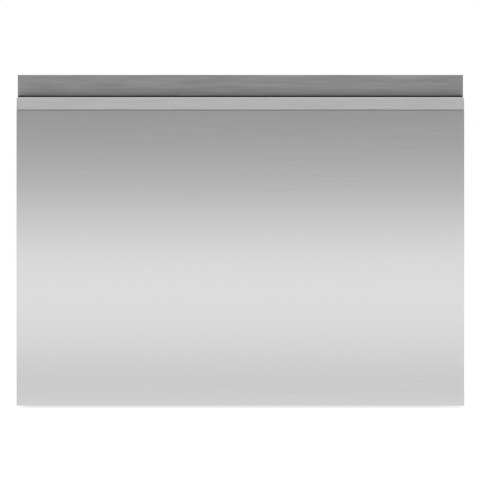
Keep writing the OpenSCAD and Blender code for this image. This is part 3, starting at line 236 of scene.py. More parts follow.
def circuit_board():
    """Green board with tracks in a regular grid under the solder mask."""
    board = Finish("board", "board", (0.02, 0.16, 0.07), 0.3, Coat_Weight=0.5)
    tracks = board.texture("ShaderNodeTexBrick", "Fac", Scale=90.0, Mortar_Size=0.06)
    board.tint(tracks, 0.85, 1.7, 0.2, 0.8)
    board.relief(tracks, 0.04 * MM, 0.5)
    return board


def smoked_lens():
    """Glossy dark window over the display."""
    lens = Finish("lens", "lens", (0.012, 0.012, 0.014), 0.06, Coat_Weight=1.0)
    lens.polish(lens.noise(300), 0.04, 0.10)
    lens.tint(lens.noise(20), 0.7, 1.3)
    return lens


WIRE = coated_wire()
FELT = pressed_felt()
BOARD = circuit_board()
LENS = smoked_lens()


# ---- Mesh tools ----

SHARP = 38                # degrees between two faces from which their edge is rounded


def rounded_path(points, bend, steps=5, closed=False):
    """The points as one line whose corners are arcs that start bend away from the corner."""
    points = [Vector(p) for p in points]
    count = len(points)
    path = []
    for i, corner in enumerate(points):
        if not closed and i in (0, count - 1):
            path.append(corner)
            continue
        to_last = points[i - 1] - corner
        to_next = points[(i + 1) % count] - corner
        reach = min(bend, to_last.length / 2, to_next.length / 2)
        start = corner + to_last.normalized() * reach
        end = corner + to_next.normalized() * reach
        for step in range(steps + 1):
            t = step / steps
            path.append((1 - t) ** 2 * start + 2 * t * (1 - t) * corner + t * t * end)
    return path


def evenly(path, step):
    """Points along an open path at a steady step."""
    out = [path[0]]
    spare = 0.0
    for a, b in zip(path, path[1:]):
        length = (b - a).length
        travelled = step - spare
        while travelled <= length:
            out.append(a.lerp(b, travelled / length))
            travelled += step
        spare = length - (travelled - step)
    return out + [path[-1]]


def frames_along(path, closed):
    """Two unit normals at each point of a path, carried along it without twist."""
    count = len(path)
    tangents = []
    for i in range(count):
        before = path[i - 1] if closed or i else path[0]
        after = path[(i + 1) % count] if closed or i < count - 1 else path[-1]
        tangents.append((after - before).normalized())
    side = tangents[0].cross(Vector((0, 0, 1)))
    if side.length < 0.1:
        side = tangents[0].cross(Vector((1, 0, 0)))
    out = []
    for tangent in tangents:
        side = (side - tangent * side.dot(tangent)).normalized()
        out.append((side, tangent.cross(side)))
    return out


class Form:
    """Vertices and faces of one piece, gathered shape by shape."""

    def __init__(self):
        self.verts, self.faces = [], []

    def add(self, other, move):
        first = len(self.verts)
        self.verts += [move @ v for v in other.verts]
        self.faces += [tuple(first + i for i in face) for face in other.faces]
        return self

    def loft(self, rings, closed=False):
        """Skin over rings of equally many points. An open run has a cap at each end."""
        first, size, count = len(self.verts), len(rings[0]), len(rings)
        for ring in rings:
            self.verts += [Vector(p) for p in ring]
        for i in range(count if closed else count - 1):
            a, b = first + i * size, first + (i + 1) % count * size
            for k in range(size):
                j = (k + 1) % size
                self.faces.append((a + k, a + j, b + j, b + k))
        if not closed:
            self.faces.append(tuple(range(first + size - 1, first - 1, -1)))
            self.faces.append(tuple(range(first + (count - 1) * size, first + count * size)))
        return self

    def tube(self, path, radius, sides=10, closed=False, tip=False):
        """Round tube. radius is a number or a function of the point's index; tip domes the last end."""
        radius_at = radius if callable(radius) else lambda i: radius
        normals = frames_along(path, closed)
        stations = [(p, radius_at(i), normals[i]) for i, p in enumerate(path)]
        if tip:
            end, size, pair = stations.pop()
            along = (end - path[-2]).normalized()
            for degrees in (0, 30, 55, 75):
                turn = math.radians(degrees)
                centre = end - along * size * (1 - math.sin(turn))
                stations.append((centre, size * math.cos(turn), pair))
        angles = [2 * math.pi * k / sides for k in range(sides)]
        rings = [
            [p + (n * math.cos(a) + b * math.sin(a)) * size for a in angles]
            for p, size, (n, b) in stations
        ]
        return self.loft(rings, closed)

    def lathe(self, profile, sides=32, shape=lambda angle: 1.0, closed=False):
        """Turns (radius, z) points round Z. shape scales the radius by the angle."""
        angles = [2 * math.pi * k / sides for k in range(sides)]
        return self.loft([
            [(r * shape(a) * math.cos(a), r * shape(a) * math.sin(a), z) for a in angles]
            for r, z in profile
        ], closed)

    def prism(self, outline, x0, x1):
        """An outline of (y, z) points, extruded along X."""
        return self.loft([[(x, y, z) for y, z in outline] for x in (x0, x1)])


def soften(obj, edge):
    """Rounds the piece's sharp edges, each edge wide, and evens its shading."""
    bevel = obj.modifiers.new("edges", "BEVEL")
    bevel.width = edge
    bevel.segments = 2
    bevel.limit_method = "ANGLE"
    bevel.angle_limit = math.radians(SHARP)
    bevel.harden_normals = False
    even = obj.modifiers.new("shading", "WEIGHTED_NORMAL")
    even.keep_sharp = True


def piece(name, form, finish, body, stands_for=(), edge=0.0, smooth=40):
    """A new piece that rides on a body and may stand for CAD nodes.

    Its sharp edges are rounded where edge is given, and it is shaded smooth below smooth degrees.
    """
    mesh = bpy.data.meshes.new(name)
    mesh.from_pydata([tuple(v) for v in form.verts], [], form.faces)
    work = bmesh.new()
    work.from_mesh(mesh)
    bmesh.ops.recalc_face_normals(work, faces=work.faces)
    work.to_mesh(mesh)
    work.free()
    mesh.shade_smooth()
    mesh.set_sharp_from_angle(angle=math.radians(smooth))
    mesh.materials.append(finish.material)
    obj = bpy.data.objects.new(name, mesh)
    bpy.context.scene.collection.objects.link(obj)
    if edge:
        soften(obj, edge)
    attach(obj, body)
    if stands_for:
        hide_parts(*stands_for)
    return obj


def solids(node):
    """(lowest corner, highest corner) of each separate solid in a CAD node."""
    work = bmesh.new()
    work.from_mesh(nodes[node].data)
    bmesh.ops.remove_doubles(work, verts=work.verts, dist=1e-6)
    left = set(work.verts)
    boxes = []
    while left:
        grow = [left.pop()]
        found = []
        while grow:
            vert = grow.pop()
            found.append(vert.co.copy())
            for edge in vert.link_edges:
                other = edge.other_vert(vert)
                if other in left:
                    left.remove(other)
                    grow.append(other)
        boxes.append(tuple(Vector(f(p[k] for p in found) for k in range(3)) for f in (min, max)))
    work.free()
    return sorted(boxes, key=lambda b: tuple(round(v, 4) for v in b[0]))


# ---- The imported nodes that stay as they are, with their finish and softened edges ----

def dress(finish, edge, *names):
    """Gives nodes their finish, and rounds their sharp edges by edge once flat faces are joined up."""
    for name in names:
        obj = nodes[name]
        obj.data.materials.clear()
        obj.data.materials.append(finish.material)
        weld = obj.modifiers.new("weld", "WELD")
        weld.merge_threshold = 2e-6
        merge = obj.modifiers.new("flats", "DECIMATE")
        merge.decimate_type = "DISSOLVE"
        merge.angle_limit = math.radians(0.4)
        soften(obj, edge)


dress(FRONT, 0.5 * MM, "door_skin")
dress(RAIL, 0.25 * MM, "handle_rail")
# The handle strip takes the darker copy of the front steel: painted shade of its pocket.
dress(STRIP_PAINTED_SHADE, 0.25 * MM, "handle_strip")
dress(ZINC, 0.25 * MM, "base_tray", "side_panel_left", "side_panel_right", "back_panel", "top_panel",
      "front_rail", "link_bracket", "door_brackets")
dress(RUNNER, 0.3 * MM, "runners_outer", "runners_middle", "runners_inner")
# The handle liner's dark plastic edge stands just above the lip as a painted shadow line along the
# handle's pocket.
dress(DARK, 0.4 * MM, "handle_liner", "lid_actuators", "power_module", "wash_motor")
dress(GREY, 0.5 * MM, "door_back", "control_panel", "filter_plate", "spray_arm", "dispenser_lid",
      "cutlery_basket", "drain_outlet")
dress(TUB, 0.8 * MM, "tub")
dress(WHITE, 0.5 * MM, "lid_plate", "lid_racks", "lid_pinion_left", "lid_pinion_right", "inlet_valve",
      "dispenser_body", "pump_rotor", "link_arm_back", "link_arm_front")
dress(BLUE, 0.4 * MM, "drain_filter", "rinse_cap")
dress(BUTTON, 0.4 * MM, "button_power", "button_program", "button_lock")
dress(BRIGHT, 0.2 * MM, "heater_plate")
dress(BOARD, 0.2 * MM, "control_board")
dress(LENS, 0.2 * MM, "display_lens")
nodes["runner_balls"].data.materials.clear()
nodes["runner_balls"].data.materials.append(BRIGHT.material)


# ---- Racks of coated wire ----

THICK = 2.0 * MM          # radius of a rack's main wires
THIN = 1.6 * MM           # radius of its filling wires
TINE_PITCH = 33 * MM
TINE_ROW = 300 * MM       # a solid of the base rack is a row of tines from this length on
CLIP = 20 * MM            # and a clip up to this size


def spread(low, high, count):
    """count places from low to high, both included."""
    return [low + (high - low) * i / (count - 1) for i in range(count)]


def tines(form, rail):
    """A row of tines with round tips on the rail that fills the box."""
    low, high = rail
    y, z, top = (low.y + high.y) / 2, low.z + THICK, high.z
    form.tube([Vector((low.x, y, z)), Vector((high.x, y, z))], THICK)
    count = int((high.x - low.x) / TINE_PITCH) + 1
    first = (low.x + high.x - (count - 1) * TINE_PITCH) / 2
    for i in range(count):
        x = first + i * TINE_PITCH
        form.tube([Vector((x, y, z)), Vector((x, y, top))], THICK, tip=True)


def make_base_rack():
    """Basket of crossed wires with a raised rim, hoops round its walls and rows of tines."""
    low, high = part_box("base_rack")
    bars = solids("base_rack")
    front_wall = next(b for b in bars if b[1].y < low.y + 3 * THICK)
    rows = [b for b in bars if b[1].y - b[0].y < 3 * THICK and b[0].y > low.y + 3 * THICK
            and b[1].y < high.y - 3 * THICK and b[1].x - b[0].x > TINE_ROW]
    clips = [b for b in bars if max(b[1].x - b[0].x, b[1].y - b[0].y) < CLIP]
    side = high.x - THICK
    front, back = low.y + THICK, high.y - THICK
    floor = low.z + THIN
    cross = floor + 0.6 * THIN
    wall_top = front_wall[1].z - THICK
    hinge = high.z - THICK
    side_top = hinge - 3 * THICK - 0.6 * MM      # clear of the cup racks' clips
    bend, hoop_bend, rim_bend = 9 * MM, 18 * MM, 16 * MM
    hoops = (40 * MM, 68 * MM)                   # heights above the floor
    long_wires, cross_wires = 12, 10             # the walls take the place of two of each
    form = Form()
    for x in spread(-side, side, long_wires)[1:-1]:
        form.tube(rounded_path([(x, front, wall_top), (x, front, floor), (x, back, floor),
                                (x, back, wall_top)], bend), THIN)
    for y in spread(front, back, cross_wires)[1:-1]:
        form.tube(rounded_path([(-side, y, side_top), (-side, y, cross), (side, y, cross),
                                (side, y, side_top)], bend), THIN)
    for z in (floor + height for height in hoops):
        form.tube(rounded_path([(-side, front, z), (side, front, z), (side, back, z),
                                (-side, back, z)], hoop_bend, closed=True), THIN, closed=True)
    # Top rim: low at the front and back, and raised along the sides
    rise = 46 * MM
    corner = 20 * MM
    rim = []
    for sx, sy in ((-1, -1), (1, -1), (1, 1), (-1, 1)):
        y_wall, y_in = (front, 1) if sy < 0 else (back, -1)
        walk = [(sx * side, y_wall + y_in * (corner + rise), side_top),
                (sx * side, y_wall + y_in * corner, wall_top),
                (sx * side, y_wall, wall_top)]
        rim += walk if sx * sy > 0 else walk[::-1]
    form.tube(rounded_path(rim, rim_bend, closed=True), THICK, closed=True)
    # Rods that the cup racks hinge on, let down into the raised rim
    cup_low, cup_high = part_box("cup_rack_left")
    overhang, rod_bend = 6 * MM, 4 * MM
    half_rod = (cup_high.y - cup_low.y) / 2 + overhang
    middle = (front + back) / 2
    for x in (-side, side):
        form.tube(rounded_path([(x, middle - half_rod, side_top), (x, middle - half_rod, hinge),
                                (x, middle + half_rod, hinge), (x, middle + half_rod, side_top)],
                               rod_bend), THICK)
    for row in rows:
        tines(form, row)
    piece("rack_wires", form, WIRE, "drawer", ["base_rack"])
    saddles = Form()
    for clip in clips:
        saddle(saddles, clip)
    piece("rack_clips", saddles, GREY, "drawer", edge=0.3 * MM)


def saddle(form, clip):
    """Plastic clip that holds a rail down: an arch over it, open below."""
    low, high = clip
    y = (low.y + high.y) / 2
    outer = (high.y - low.y) / 2
    inner = THICK + 0.1 * MM
    centre = high.z - outer
    arc = [math.pi * k / 10 for k in range(11)]
    outline = [(y + outer, low.z)] + [(y + outer * math.cos(a), centre + outer * math.sin(a)) for a in arc]
    outline += [(y - outer, low.z), (y - inner, low.z)]
    outline += [(y + inner * math.cos(a), centre + inner * math.sin(a)) for a in arc[::-1]]
    outline += [(y + inner, low.z)]
    form.prism(outline, low.x, high.x)


def make_folding_row():
    """Row of tines that folds flat."""
    form = Form()
    tines(form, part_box("tine_row_folding"))
    piece("folding_tines", form, WIRE, "tine_row", ["tine_row_folding"])


def make_cup_rack(side, name):
    """Flat rack of waved wires, with open clips that snap onto the base rack's rod and turn on it."""
    low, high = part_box(f"cup_rack_{name}")
    hinge_x = max(abs(low.x), abs(high.x)) - 2 * THICK
    inner = min(abs(low.x), abs(high.x)) + THICK
    outer = hinge_x - 3 * THICK
    front, back = low.y + THICK, high.y - THICK
    z = (low.z + high.z) / 2
    form = Form()
    form.tube(rounded_path([(side * inner, front, z), (side * outer, front, z), (side * outer, back, z),
                            (side * inner, back, z)], 12 * MM, closed=True), THICK, closed=True)
    wave, cross_wires, long_wires = 1.8 * MM, 10, 4
    for y in spread(front, back, cross_wires)[1:-1]:
        xs = spread(inner, outer, 25)
        path = [Vector((side * x, y, z + wave * math.sin(math.pi * i / 4))) for i, x in enumerate(xs)]
        form.tube(path, THIN)
    for x in spread(inner, outer, long_wires)[1:-1]:
        form.tube([Vector((side * x, front, z - wave)), Vector((side * x, back, z - wave))], THIN)
    piece(f"cup_rack_wires_{name}", form, WIRE, f"cup_rack_{name}", [f"cup_rack_{name}"])
    clips = Form()
    width, inset = 8 * MM, 20 * MM
    middle = (low.y + high.y) / 2
    reach = (high.y - low.y) / 2 - inset
    rim, bore = 2 * THICK, THICK + 0.15 * MM
    mouth, root = 40, 140     # degrees from the clip's open side to its lip and to its tongue

    def arc(radius, first, last, step):
        turns = [math.radians(d) for d in range(first, last + step, step)]
        return [(hinge_x + radius * math.cos(a), z + radius * math.sin(a)) for a in turns]

    tongue = [(outer - THICK, z + 1.6 * THICK), (outer - THICK, z - 1.6 * THICK)]
    outline = arc(rim, mouth, root, 20) + tongue + arc(rim, -root, -mouth, 20)
    outline += arc(bore, -mouth, mouth - 360, -20)
    for y in (middle - reach, middle, middle + reach):
        clips.loft([[(side * x, y_, z_) for x, z_ in outline] for y_ in (y - width / 2, y + width / 2)])
    piece(f"cup_rack_clips_{name}", clips, GREY, f"cup_rack_{name}", edge=0.4 * MM)


make_base_rack()
make_folding_row()
make_cup_rack(-1, "left")
make_cup_rack(1, "right")


# ---- Lid gasket ----

def rounded_rect(half_x, half_y, corner, steps=8):
    """(point, outward normal) pairs round a rectangle with round corners."""
    out = []
    for turn, (sx, sy) in enumerate(((1, 1), (-1, 1), (-1, -1), (1, -1))):
        for step in range(steps + 1):
            a = math.radians(90 * turn + 90 * step / steps)
            normal = Vector((math.cos(a), math.sin(a), 0))
            centre = Vector((sx * (half_x - corner), sy * (half_y - corner), 0))
            out.append((centre + normal * corner, normal))
    return out


def make_gasket():
    """Strip with two sealing lips, held in a groove of the lid's underside."""
    low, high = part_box("lid_gasket")
    width, corner = 10.5 * MM, 26.75 * MM
    centre = (low + high) / 2
    line = rounded_rect((high.x - low.x - width) / 2, (high.y - low.y - width) / 2, corner)
    w, h = width / 2, high.z - low.z
    profile = [(-w, h), (w, h), (w, 0.62 * h), (0.98 * w, 0.25 * h), (0.86 * w, 0.0), (0.62 * w, 0.0),
               (0.56 * w, 0.38 * h), (0.25 * w, 0.5 * h), (0, 0.3 * h), (-0.25 * w, 0.5 * h),
               (-0.56 * w, 0.38 * h), (-0.62 * w, 0.0), (-0.86 * w, 0.0), (-0.98 * w, 0.25 * h),
               (-w, 0.62 * h)]
    rings = [[Vector((centre.x, centre.y, low.z + v)) + p + n * u for u, v in profile] for p, n in line]
    piece("gasket_strip", Form().loft(rings, closed=True), GASKET, "lid", ["lid_gasket"], smooth=50)


make_gasket()


# ---- Sound pad in the door ----

def make_pad():
    """Felt mat: full in the middle, thin at its edges and drawn in where it is needled through."""
    low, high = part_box("door_pad")
    centre, half = (low + high) / 2, (high - low) / 2
    pitch, edge = 64 * MM, 18 * MM
    draw, thinnest = 0.22, 0.12       # shares of the full thickness
    columns, rows = 74, 46

    def fullness(x, z):
        rim = min(half.x - abs(x), half.z - abs(z)) / edge
        crown = math.sqrt(max(0.0, 1 - (1 - min(rim, 1.0)) ** 2))
        dip = math.cos(math.pi * x / pitch) ** 8 * math.cos(math.pi * z / pitch) ** 8
        return max(thinnest, crown) * (1 - draw * dip)

    form = Form()
    index = {}
    for side in (-1, 1):
        for r in range(rows + 1):
            for c in range(columns + 1):
                on_rim = r in (0, rows) or c in (0, columns)
                x = half.x * math.sin(math.pi / 2 * (2 * c / columns - 1))
                z = half.z * math.sin(math.pi / 2 * (2 * r / rows - 1))
                if on_rim and side > 0:
                    index[side, r, c] = index[-1, r, c]
                    continue
                depth = 0 if on_rim else side * half.y * fullness(x, z)
                index[side, r, c] = len(form.verts)
                form.verts.append(centre + Vector((x, depth, z)))
        for r in range(rows):
            for c in range(columns):
                corners = ((0, 0), (1, 0), (1, 1), (0, 1))
                form.faces.append(tuple(index[side, r + j, c + i] for i, j in corners))
    pad = piece("felt_pad", form, FELT, "drawer", ["door_pad"], smooth=80)


make_pad()


# ---- Hoses and cables ----

DRAIN_R, FILL_R, CABLE_R = 7 * MM, 4 * MM, 2.5 * MM
RIB_PITCH = 4.2 * MM
BEND = 14 * MM
GAP = 0.3 * MM            # between a hose's end and what it runs to


def corrugated(form, path, radius):
    """Drain hose: round ribs at a steady pitch, with a smooth cuff at each end."""
    rib_points, cuff_ribs = 6, 4
    cuff_share, swing = 0.98, 0.09       # of the radius
    line = evenly(path, RIB_PITCH / rib_points)
    total = len(line)
    cuff = cuff_ribs * rib_points

    def size(i):
        if i < cuff or i > total - cuff:
            return radius * cuff_share
        return radius * (1 - swing + swing * math.cos(2 * math.pi * (i - cuff) / rib_points))

    form.tube(line, size, sides=20)


def smooth_line(form, points, radius):
    """Fill hose or cable, bent round at each of its points."""
    form.tube(rounded_path(points, BEND, steps=8), radius, sides=14)


def make_cabinet_lines():
    """From the outlet, the inlet valve and the power module up to the folding link's bracket."""
    low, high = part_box("cabinet_lines")
    outlet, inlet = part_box("drain_outlet"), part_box("inlet_valve")
    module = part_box("power_module")
    y = (low.y + high.y) / 2
    top = high.z
    drain_x = (outlet[0].x + outlet[1].x) / 2
    fill_aside, cable_aside = 23.7 * MM, 12 * MM       # from the drain hose to the left and right
    fill_x = drain_x - fill_aside
    cable_x = drain_x + cable_aside
    fill_z, cable_z = 62 * MM, 80 * MM
    form = Form()
    corrugated(form, [Vector((drain_x, y, outlet[1].z + GAP)), Vector((drain_x, y, top))], DRAIN_R)
    smooth_line(form, [(inlet[1].x + GAP, y, fill_z), (fill_x, y, fill_z), (fill_x, y, top)], FILL_R)
    smooth_line(form, [(module[0].x - GAP, y, cable_z), (cable_x, y, cable_z), (cable_x, y, top)], CABLE_R)
    piece("cabinet_hoses", form, LINE, "cabinet", ["cabinet_lines"])


def make_drawer_lines():
    """From the pump, the tub's water inlet and the controls to the slot that the link's arm runs in."""
    low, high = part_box("drawer_lines")
    arm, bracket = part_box("spray_arm"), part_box("link_bracket")
    mid_y = (arm[0].y + arm[1].y) / 2
    pivot_x = (bracket[0].x + bracket[1].x) / 2
    slot_half = 16 * MM + GAP
    slot_mid, slot_top = 216.3 * MM, 224.6 * MM
    pump_x = -80.3 * MM
    clear = 1 * MM
    tub_back = high.y - 2 * DRAIN_R - 2 * clear
    drain_x, drain_y, drain_z = low.x + DRAIN_R, high.y - DRAIN_R, low.z + DRAIN_R
    cable_x = high.x - CABLE_R
    cable_y, cable_front = tub_back + CABLE_R + clear, low.y + CABLE_R
    form = Form()
    drain = rounded_path([(pump_x, mid_y, drain_z), (drain_x, mid_y, drain_z),
                          (drain_x, drain_y, drain_z), (drain_x, drain_y, slot_mid),
                          (pivot_x - slot_half, drain_y, slot_mid)], BEND, steps=8)
    corrugated(form, drain, DRAIN_R)
    smooth_line(form, [(pivot_x + slot_half, cable_y, slot_mid), (cable_x, cable_y, slot_mid),
                       (cable_x, cable_front, slot_mid), (cable_x, cable_front, high.z)], CABLE_R)
    fill_aside, socket_back = 6 * MM, 2.3 * MM
    fill_x, fill_y = pivot_x - fill_aside, tub_back + FILL_R + clear
    socket_z, socket_r, socket_h = 328 * MM, FILL_R + 3 * MM, 20 * MM
    smooth_line(form, [(fill_x, fill_y, slot_top), (fill_x, fill_y, socket_z)], FILL_R)
    socket = Form().lathe([(0.6 * FILL_R, 0), (socket_r - 0.4 * MM, 0.5 * MM), (socket_r, 1 * MM),
                           (socket_r, socket_h - 1 * MM), (socket_r - 1 * MM, socket_h)], 24)
    form.add(socket, Matrix.Translation((fill_x, fill_y + socket_back, socket_z)))
    piece("drawer_hoses", form, LINE, "drawer", ["drawer_lines"])


def make_link_hoses(name, body):
    """The drain and fill hoses on one arm of the folding link."""
    low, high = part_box(name)
    drain = (low.y + DRAIN_R, low.z + DRAIN_R)
    fill = (high.y - FILL_R, high.z - FILL_R)
    form = Form()
    corrugated(form, [Vector((x, *drain)) for x in (low.x, high.x)], DRAIN_R)
    form.tube([Vector((x, *fill)) for x in (low.x, high.x)], FILL_R, sides=14)
    piece(f"{name}_run", form, LINE, body, [name])


make_cabinet_lines()
make_drawer_lines()
make_link_hoses("link_hoses_back", "link_back")
make_link_hoses("link_hoses_front", "link_front")


# ---- Screws ----

def pan_head(radius, height):
    """Pan head with a cross recess, its seat at z = 0."""
    sides = 24
    angles = [2 * math.pi * k / sides for k in range(sides)]
    wall = [(radius * 0.97, 0.0), (radius, 0.15 * height), (radius * 0.97, 0.55 * height),
            (radius * 0.82, 0.88 * height), (radius * 0.62, height)]
    rings = [[Vector((r * math.cos(a), r * math.sin(a), z)) for a in angles] for r, z in wall]
    arm, half = radius * 0.46, radius * 0.11
    cross = [Vector((x, y, height)) for x, y in (
        (arm, -half), (arm, half), (half, half), (half, arm), (-half, arm), (-half, half),
        (-arm, half), (-arm, -half), (-half, -half), (-half, -arm), (half, -arm), (half, -half))]
    floor = [Vector((v.x * 0.7, v.y * 0.7, height * 0.35)) for v in cross]
    corners = len(cross)
    work = bmesh.new()
    loops = []
    for ring in rings + [cross, floor]:
        loops.append([work.verts.new(p) for p in ring])
    for a, b in zip(loops[:len(rings)], loops[1:len(rings)]):
        for k in range(sides):
            j = (k + 1) % sides
            work.faces.new((a[k], a[j], b[j], b[k]))
    work.faces.new(loops[0][::-1])
    hole, base = loops[-2], loops[-1]
    for k in range(corners):
        j = (k + 1) % corners
        work.faces.new((hole[k], hole[j], base[j], base[k]))
    work.faces.new(base)
    rim = loops[len(rings) - 1]
    top_edges = [work.edges.get((rim[k], rim[(k + 1) % sides])) for k in range(sides)]
    top_edges += [work.edges.get((hole[k], hole[(k + 1) % corners])) for k in range(corners)]
    bmesh.ops.triangle_fill(work, use_beauty=True, use_dissolve=False, edges=top_edges)
    work.verts.index_update()
    form = Form()
    form.verts = [v.co.copy() for v in work.verts]
    form.faces = [tuple(v.index for v in f.verts) for f in work.faces]
    work.free()
    return form


def make_screws(node, body, name):
    """A pan head in the place of each screw. Each faces up or back, along its thinnest side."""
    form = Form()
    for low, high in solids(node):
        size = high - low
        axis = min(range(3), key=lambda k: size[k])
        seat = (low + high) / 2
        seat[axis] = low[axis]
        normal = Vector([1 if k == axis else 0 for k in range(3)])
        turn = normal.to_track_quat("Z", "Y").to_matrix().to_4x4()
        form.add(pan_head(max(size) / 2, size[axis]), Matrix.Translation(seat) @ turn)
    piece(name, form, BRIGHT, body, [node], smooth=30)


make_screws("cabinet_screws", "cabinet", "cabinet_pan_heads")
make_screws("door_screws", "drawer", "door_pan_heads")


# ---- Back fittings, whose profiles are in mm ----

def ring_on_back(name, finish, mount, profile, sides=40, shape=lambda angle: 1.0):
    """A ring round the axis of a mount on the back. The profile is (radius, y) points in mm."""
    x, _, z = mounts[mount]
    ring = Form().lathe([(r * MM, y * MM) for r, y in profile], sides, shape, closed=True)
    back = Matrix.Translation((x, 0, z)) @ Matrix.Rotation(math.radians(-90), 4, "X")
    piece(name, Form().add(ring, back), finish, "cabinet", edge=0.15 * MM, smooth=30)


def make_inlet_thread():
    """Pipe thread round the water inlet's spigot."""
    start, pitch, turns = 275.2, 1.81, 5
    inside, root, crest = 12.9, 13.25, 13.75
    thread = [(inside, start - 0.2)]
    for turn in range(turns):
        y = start + turn * pitch
        thread += [(root, y + 0.1), (crest, y + 0.7), (crest, y + 1.0), (root, y + 1.6)]
    thread += [(inside, start + 0.2 + turns * pitch)]
    ring_on_back("inlet_thread", WHITE, "water_inlet", thread)


def make_outlet_barbs():
    """Barbs of the drain spigot, steep towards the panel and long towards the hose."""
    start, pitch, turns = 275.6, 3.2, 3
    inside, root, crest = 9.2, 9.5, 10.2
    barbs = [(inside, start - 0.2)]
    for turn in range(turns):
        y = start + turn * pitch
        barbs += [(root, y), (crest, y + 0.4), (root, y + 2.8)]
    barbs += [(inside, start + 0.2 + turns * pitch)]
    ring_on_back("outlet_barbs", GREY, "drain_spigot", barbs)


def make_gland_nuts():
    """Hexagon nut and fluted cap of the mains cable's gland."""
    nut_start, nut_end, nut_r = 272.7, 276.8, 11.1
    cap_start, cap_end, cap_r = 277.0, 285.0, 9.4
    nut_bore, cap_bore = 7.8, 4.4
    flutes, swing = 14, 0.03
    ring_on_back("gland_nut", DARK, "mains_gland", [
        (nut_bore, nut_start), (nut_r - 0.3, nut_start), (nut_r, nut_start + 0.4),
        (nut_r, nut_end - 0.4), (nut_r - 0.6, nut_end), (nut_bore, nut_end)], sides=6)
    ring_on_back("gland_cap", DARK, "mains_gland", [
        (cap_bore, cap_start), (cap_r - 0.1, cap_start), (cap_r, cap_start + 4.6),
        (cap_r - 0.8, cap_end - 1.2), (cap_r - 2.4, cap_end), (cap_bore, cap_end)],
        sides=flutes * 6, shape=lambda a: 1 - swing * (1 - math.cos(flutes * a)))


make_inlet_thread()
make_outlet_barbs()
make_gland_nuts()


# ---- Levelling feet ----

def make_foot(place):
    """Knurled pad, hexagon for a spanner and threaded stem."""
    name = f"foot_{place}"
    low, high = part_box(name)
    x, y = (low.x + high.x) / 2, (low.y + high.y) / 2
    pad_r = (high.x - low.x) / 2
    pad_h = 5 * MM
    hex_top, hex_r = 11.7 * MM, 6.9 * MM
    scallops, swing = 28, 0.012
    pad = Form().lathe(
        [(pad_r * 0.93, 0), (pad_r * 0.985, 0.6 * MM), (pad_r, 1.4 * MM), (pad_r, pad_h - 1.4 * MM),
         (pad_r * 0.97, pad_h - 0.5 * MM), (pad_r * 0.9, pad_h), (pad_r * 0.45, pad_h)],
        sides=scallops * 6, shape=lambda a: 1 - swing * (1 - math.cos(scallops * a)))
    nut = Form().lathe([(hex_r, pad_h - 0.05 * MM), (hex_r, hex_top - 0.6 * MM),
                        (hex_r - 0.6 * MM, hex_top)], sides=6)
    pitch = 1.25 * MM
    root, crest = 3.35 * MM, 3.98 * MM
    thread = [(root, hex_top - 0.3 * MM)]
    z = hex_top
    while z < high.z - 1.5 * pitch:
        thread += [(root, z + 0.1 * pitch), (crest, z + 0.45 * pitch), (crest, z + 0.6 * pitch),
                   (root, z + pitch)]
        z += pitch
    thread += [(root, high.z - 0.6 * MM), (root * 0.85, high.z)]
    stem = Form().lathe(thread, sides=24)
    place_here = Matrix.Translation((x, y, 0))
    moulding = Form().add(pad, place_here).add(nut, place_here)
    piece(f"{name}_pad", moulding, FOOT, name, [name], smooth=35)
    piece(f"{name}_thread", Form().add(stem, place_here), BRIGHT, name)


for corner_name in ("front_left", "front_right", "back_left", "back_right"):
    make_foot(corner_name)


# ---- Studio: floor, world, lights and camera ----

FACE_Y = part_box("door_skin")[0].y
CAMERA_GAP = 5.6              # from the door's face
VIEW_WIDTH = 0.64196          # width of the picture at the door's face
VIEW_CENTRE = (-0.0005, 0.22489)   # x and z of the picture's centre
SENSOR = 36.0                 # mm
WORLD_FILL = 0.55             # the world's strength on matt surfaces; it is seen as white
FLOOR_SIZE = 60.0
FLOOR_BOUNCE = 0.8            # the floor's shade where it lights the object
FLOOR_SHADE = 0.42            # and where it is seen, so that the object's shadow shows
FLOOR_GLOW = (0.70, 0.80)     # added where it is seen, near the object and far away, up to white
FLOOR_FADE = (0.8, 5.0)       # distances from the origin between which the glow rises
LIT_POINT = (0, 0, 0.2)       # what the lamps face


def seen_directly(tree):
    """Output that is 1 for camera, glossy and transmission rays, and 0 for the rest."""
    path = tree.nodes.new("ShaderNodeLightPath")
    first = tree.nodes.new("ShaderNodeMath")
    first.operation = "MAXIMUM"
    tree.links.new(path.outputs["Is Camera Ray"], first.inputs[0])
    tree.links.new(path.outputs["Is Glossy Ray"], first.inputs[1])
    both = tree.nodes.new("ShaderNodeMath")
    both.operation = "MAXIMUM"
    tree.links.new(first.outputs[0], both.inputs[0])
    tree.links.new(path.outputs["Is Transmission Ray"], both.inputs[1])
    return both.outputs[0]


def make_world():
    """White where it is seen, and dimmer where it lights matt surfaces."""
    world = bpy.data.worlds.new("studio")
    bpy.context.scene.world = world
    world.use_nodes = True
    tree = world.node_tree
    background = tree.nodes["Background"]
    background.inputs["Color"].default_value = (1, 1, 1, 1)
    level = tree.nodes.new("ShaderNodeMapRange")
    level.inputs["To Min"].default_value = WORLD_FILL
    level.inputs["To Max"].default_value = 1.0
    tree.links.new(seen_directly(tree), level.inputs["Value"])
    tree.links.new(level.outputs["Result"], background.inputs["Strength"])


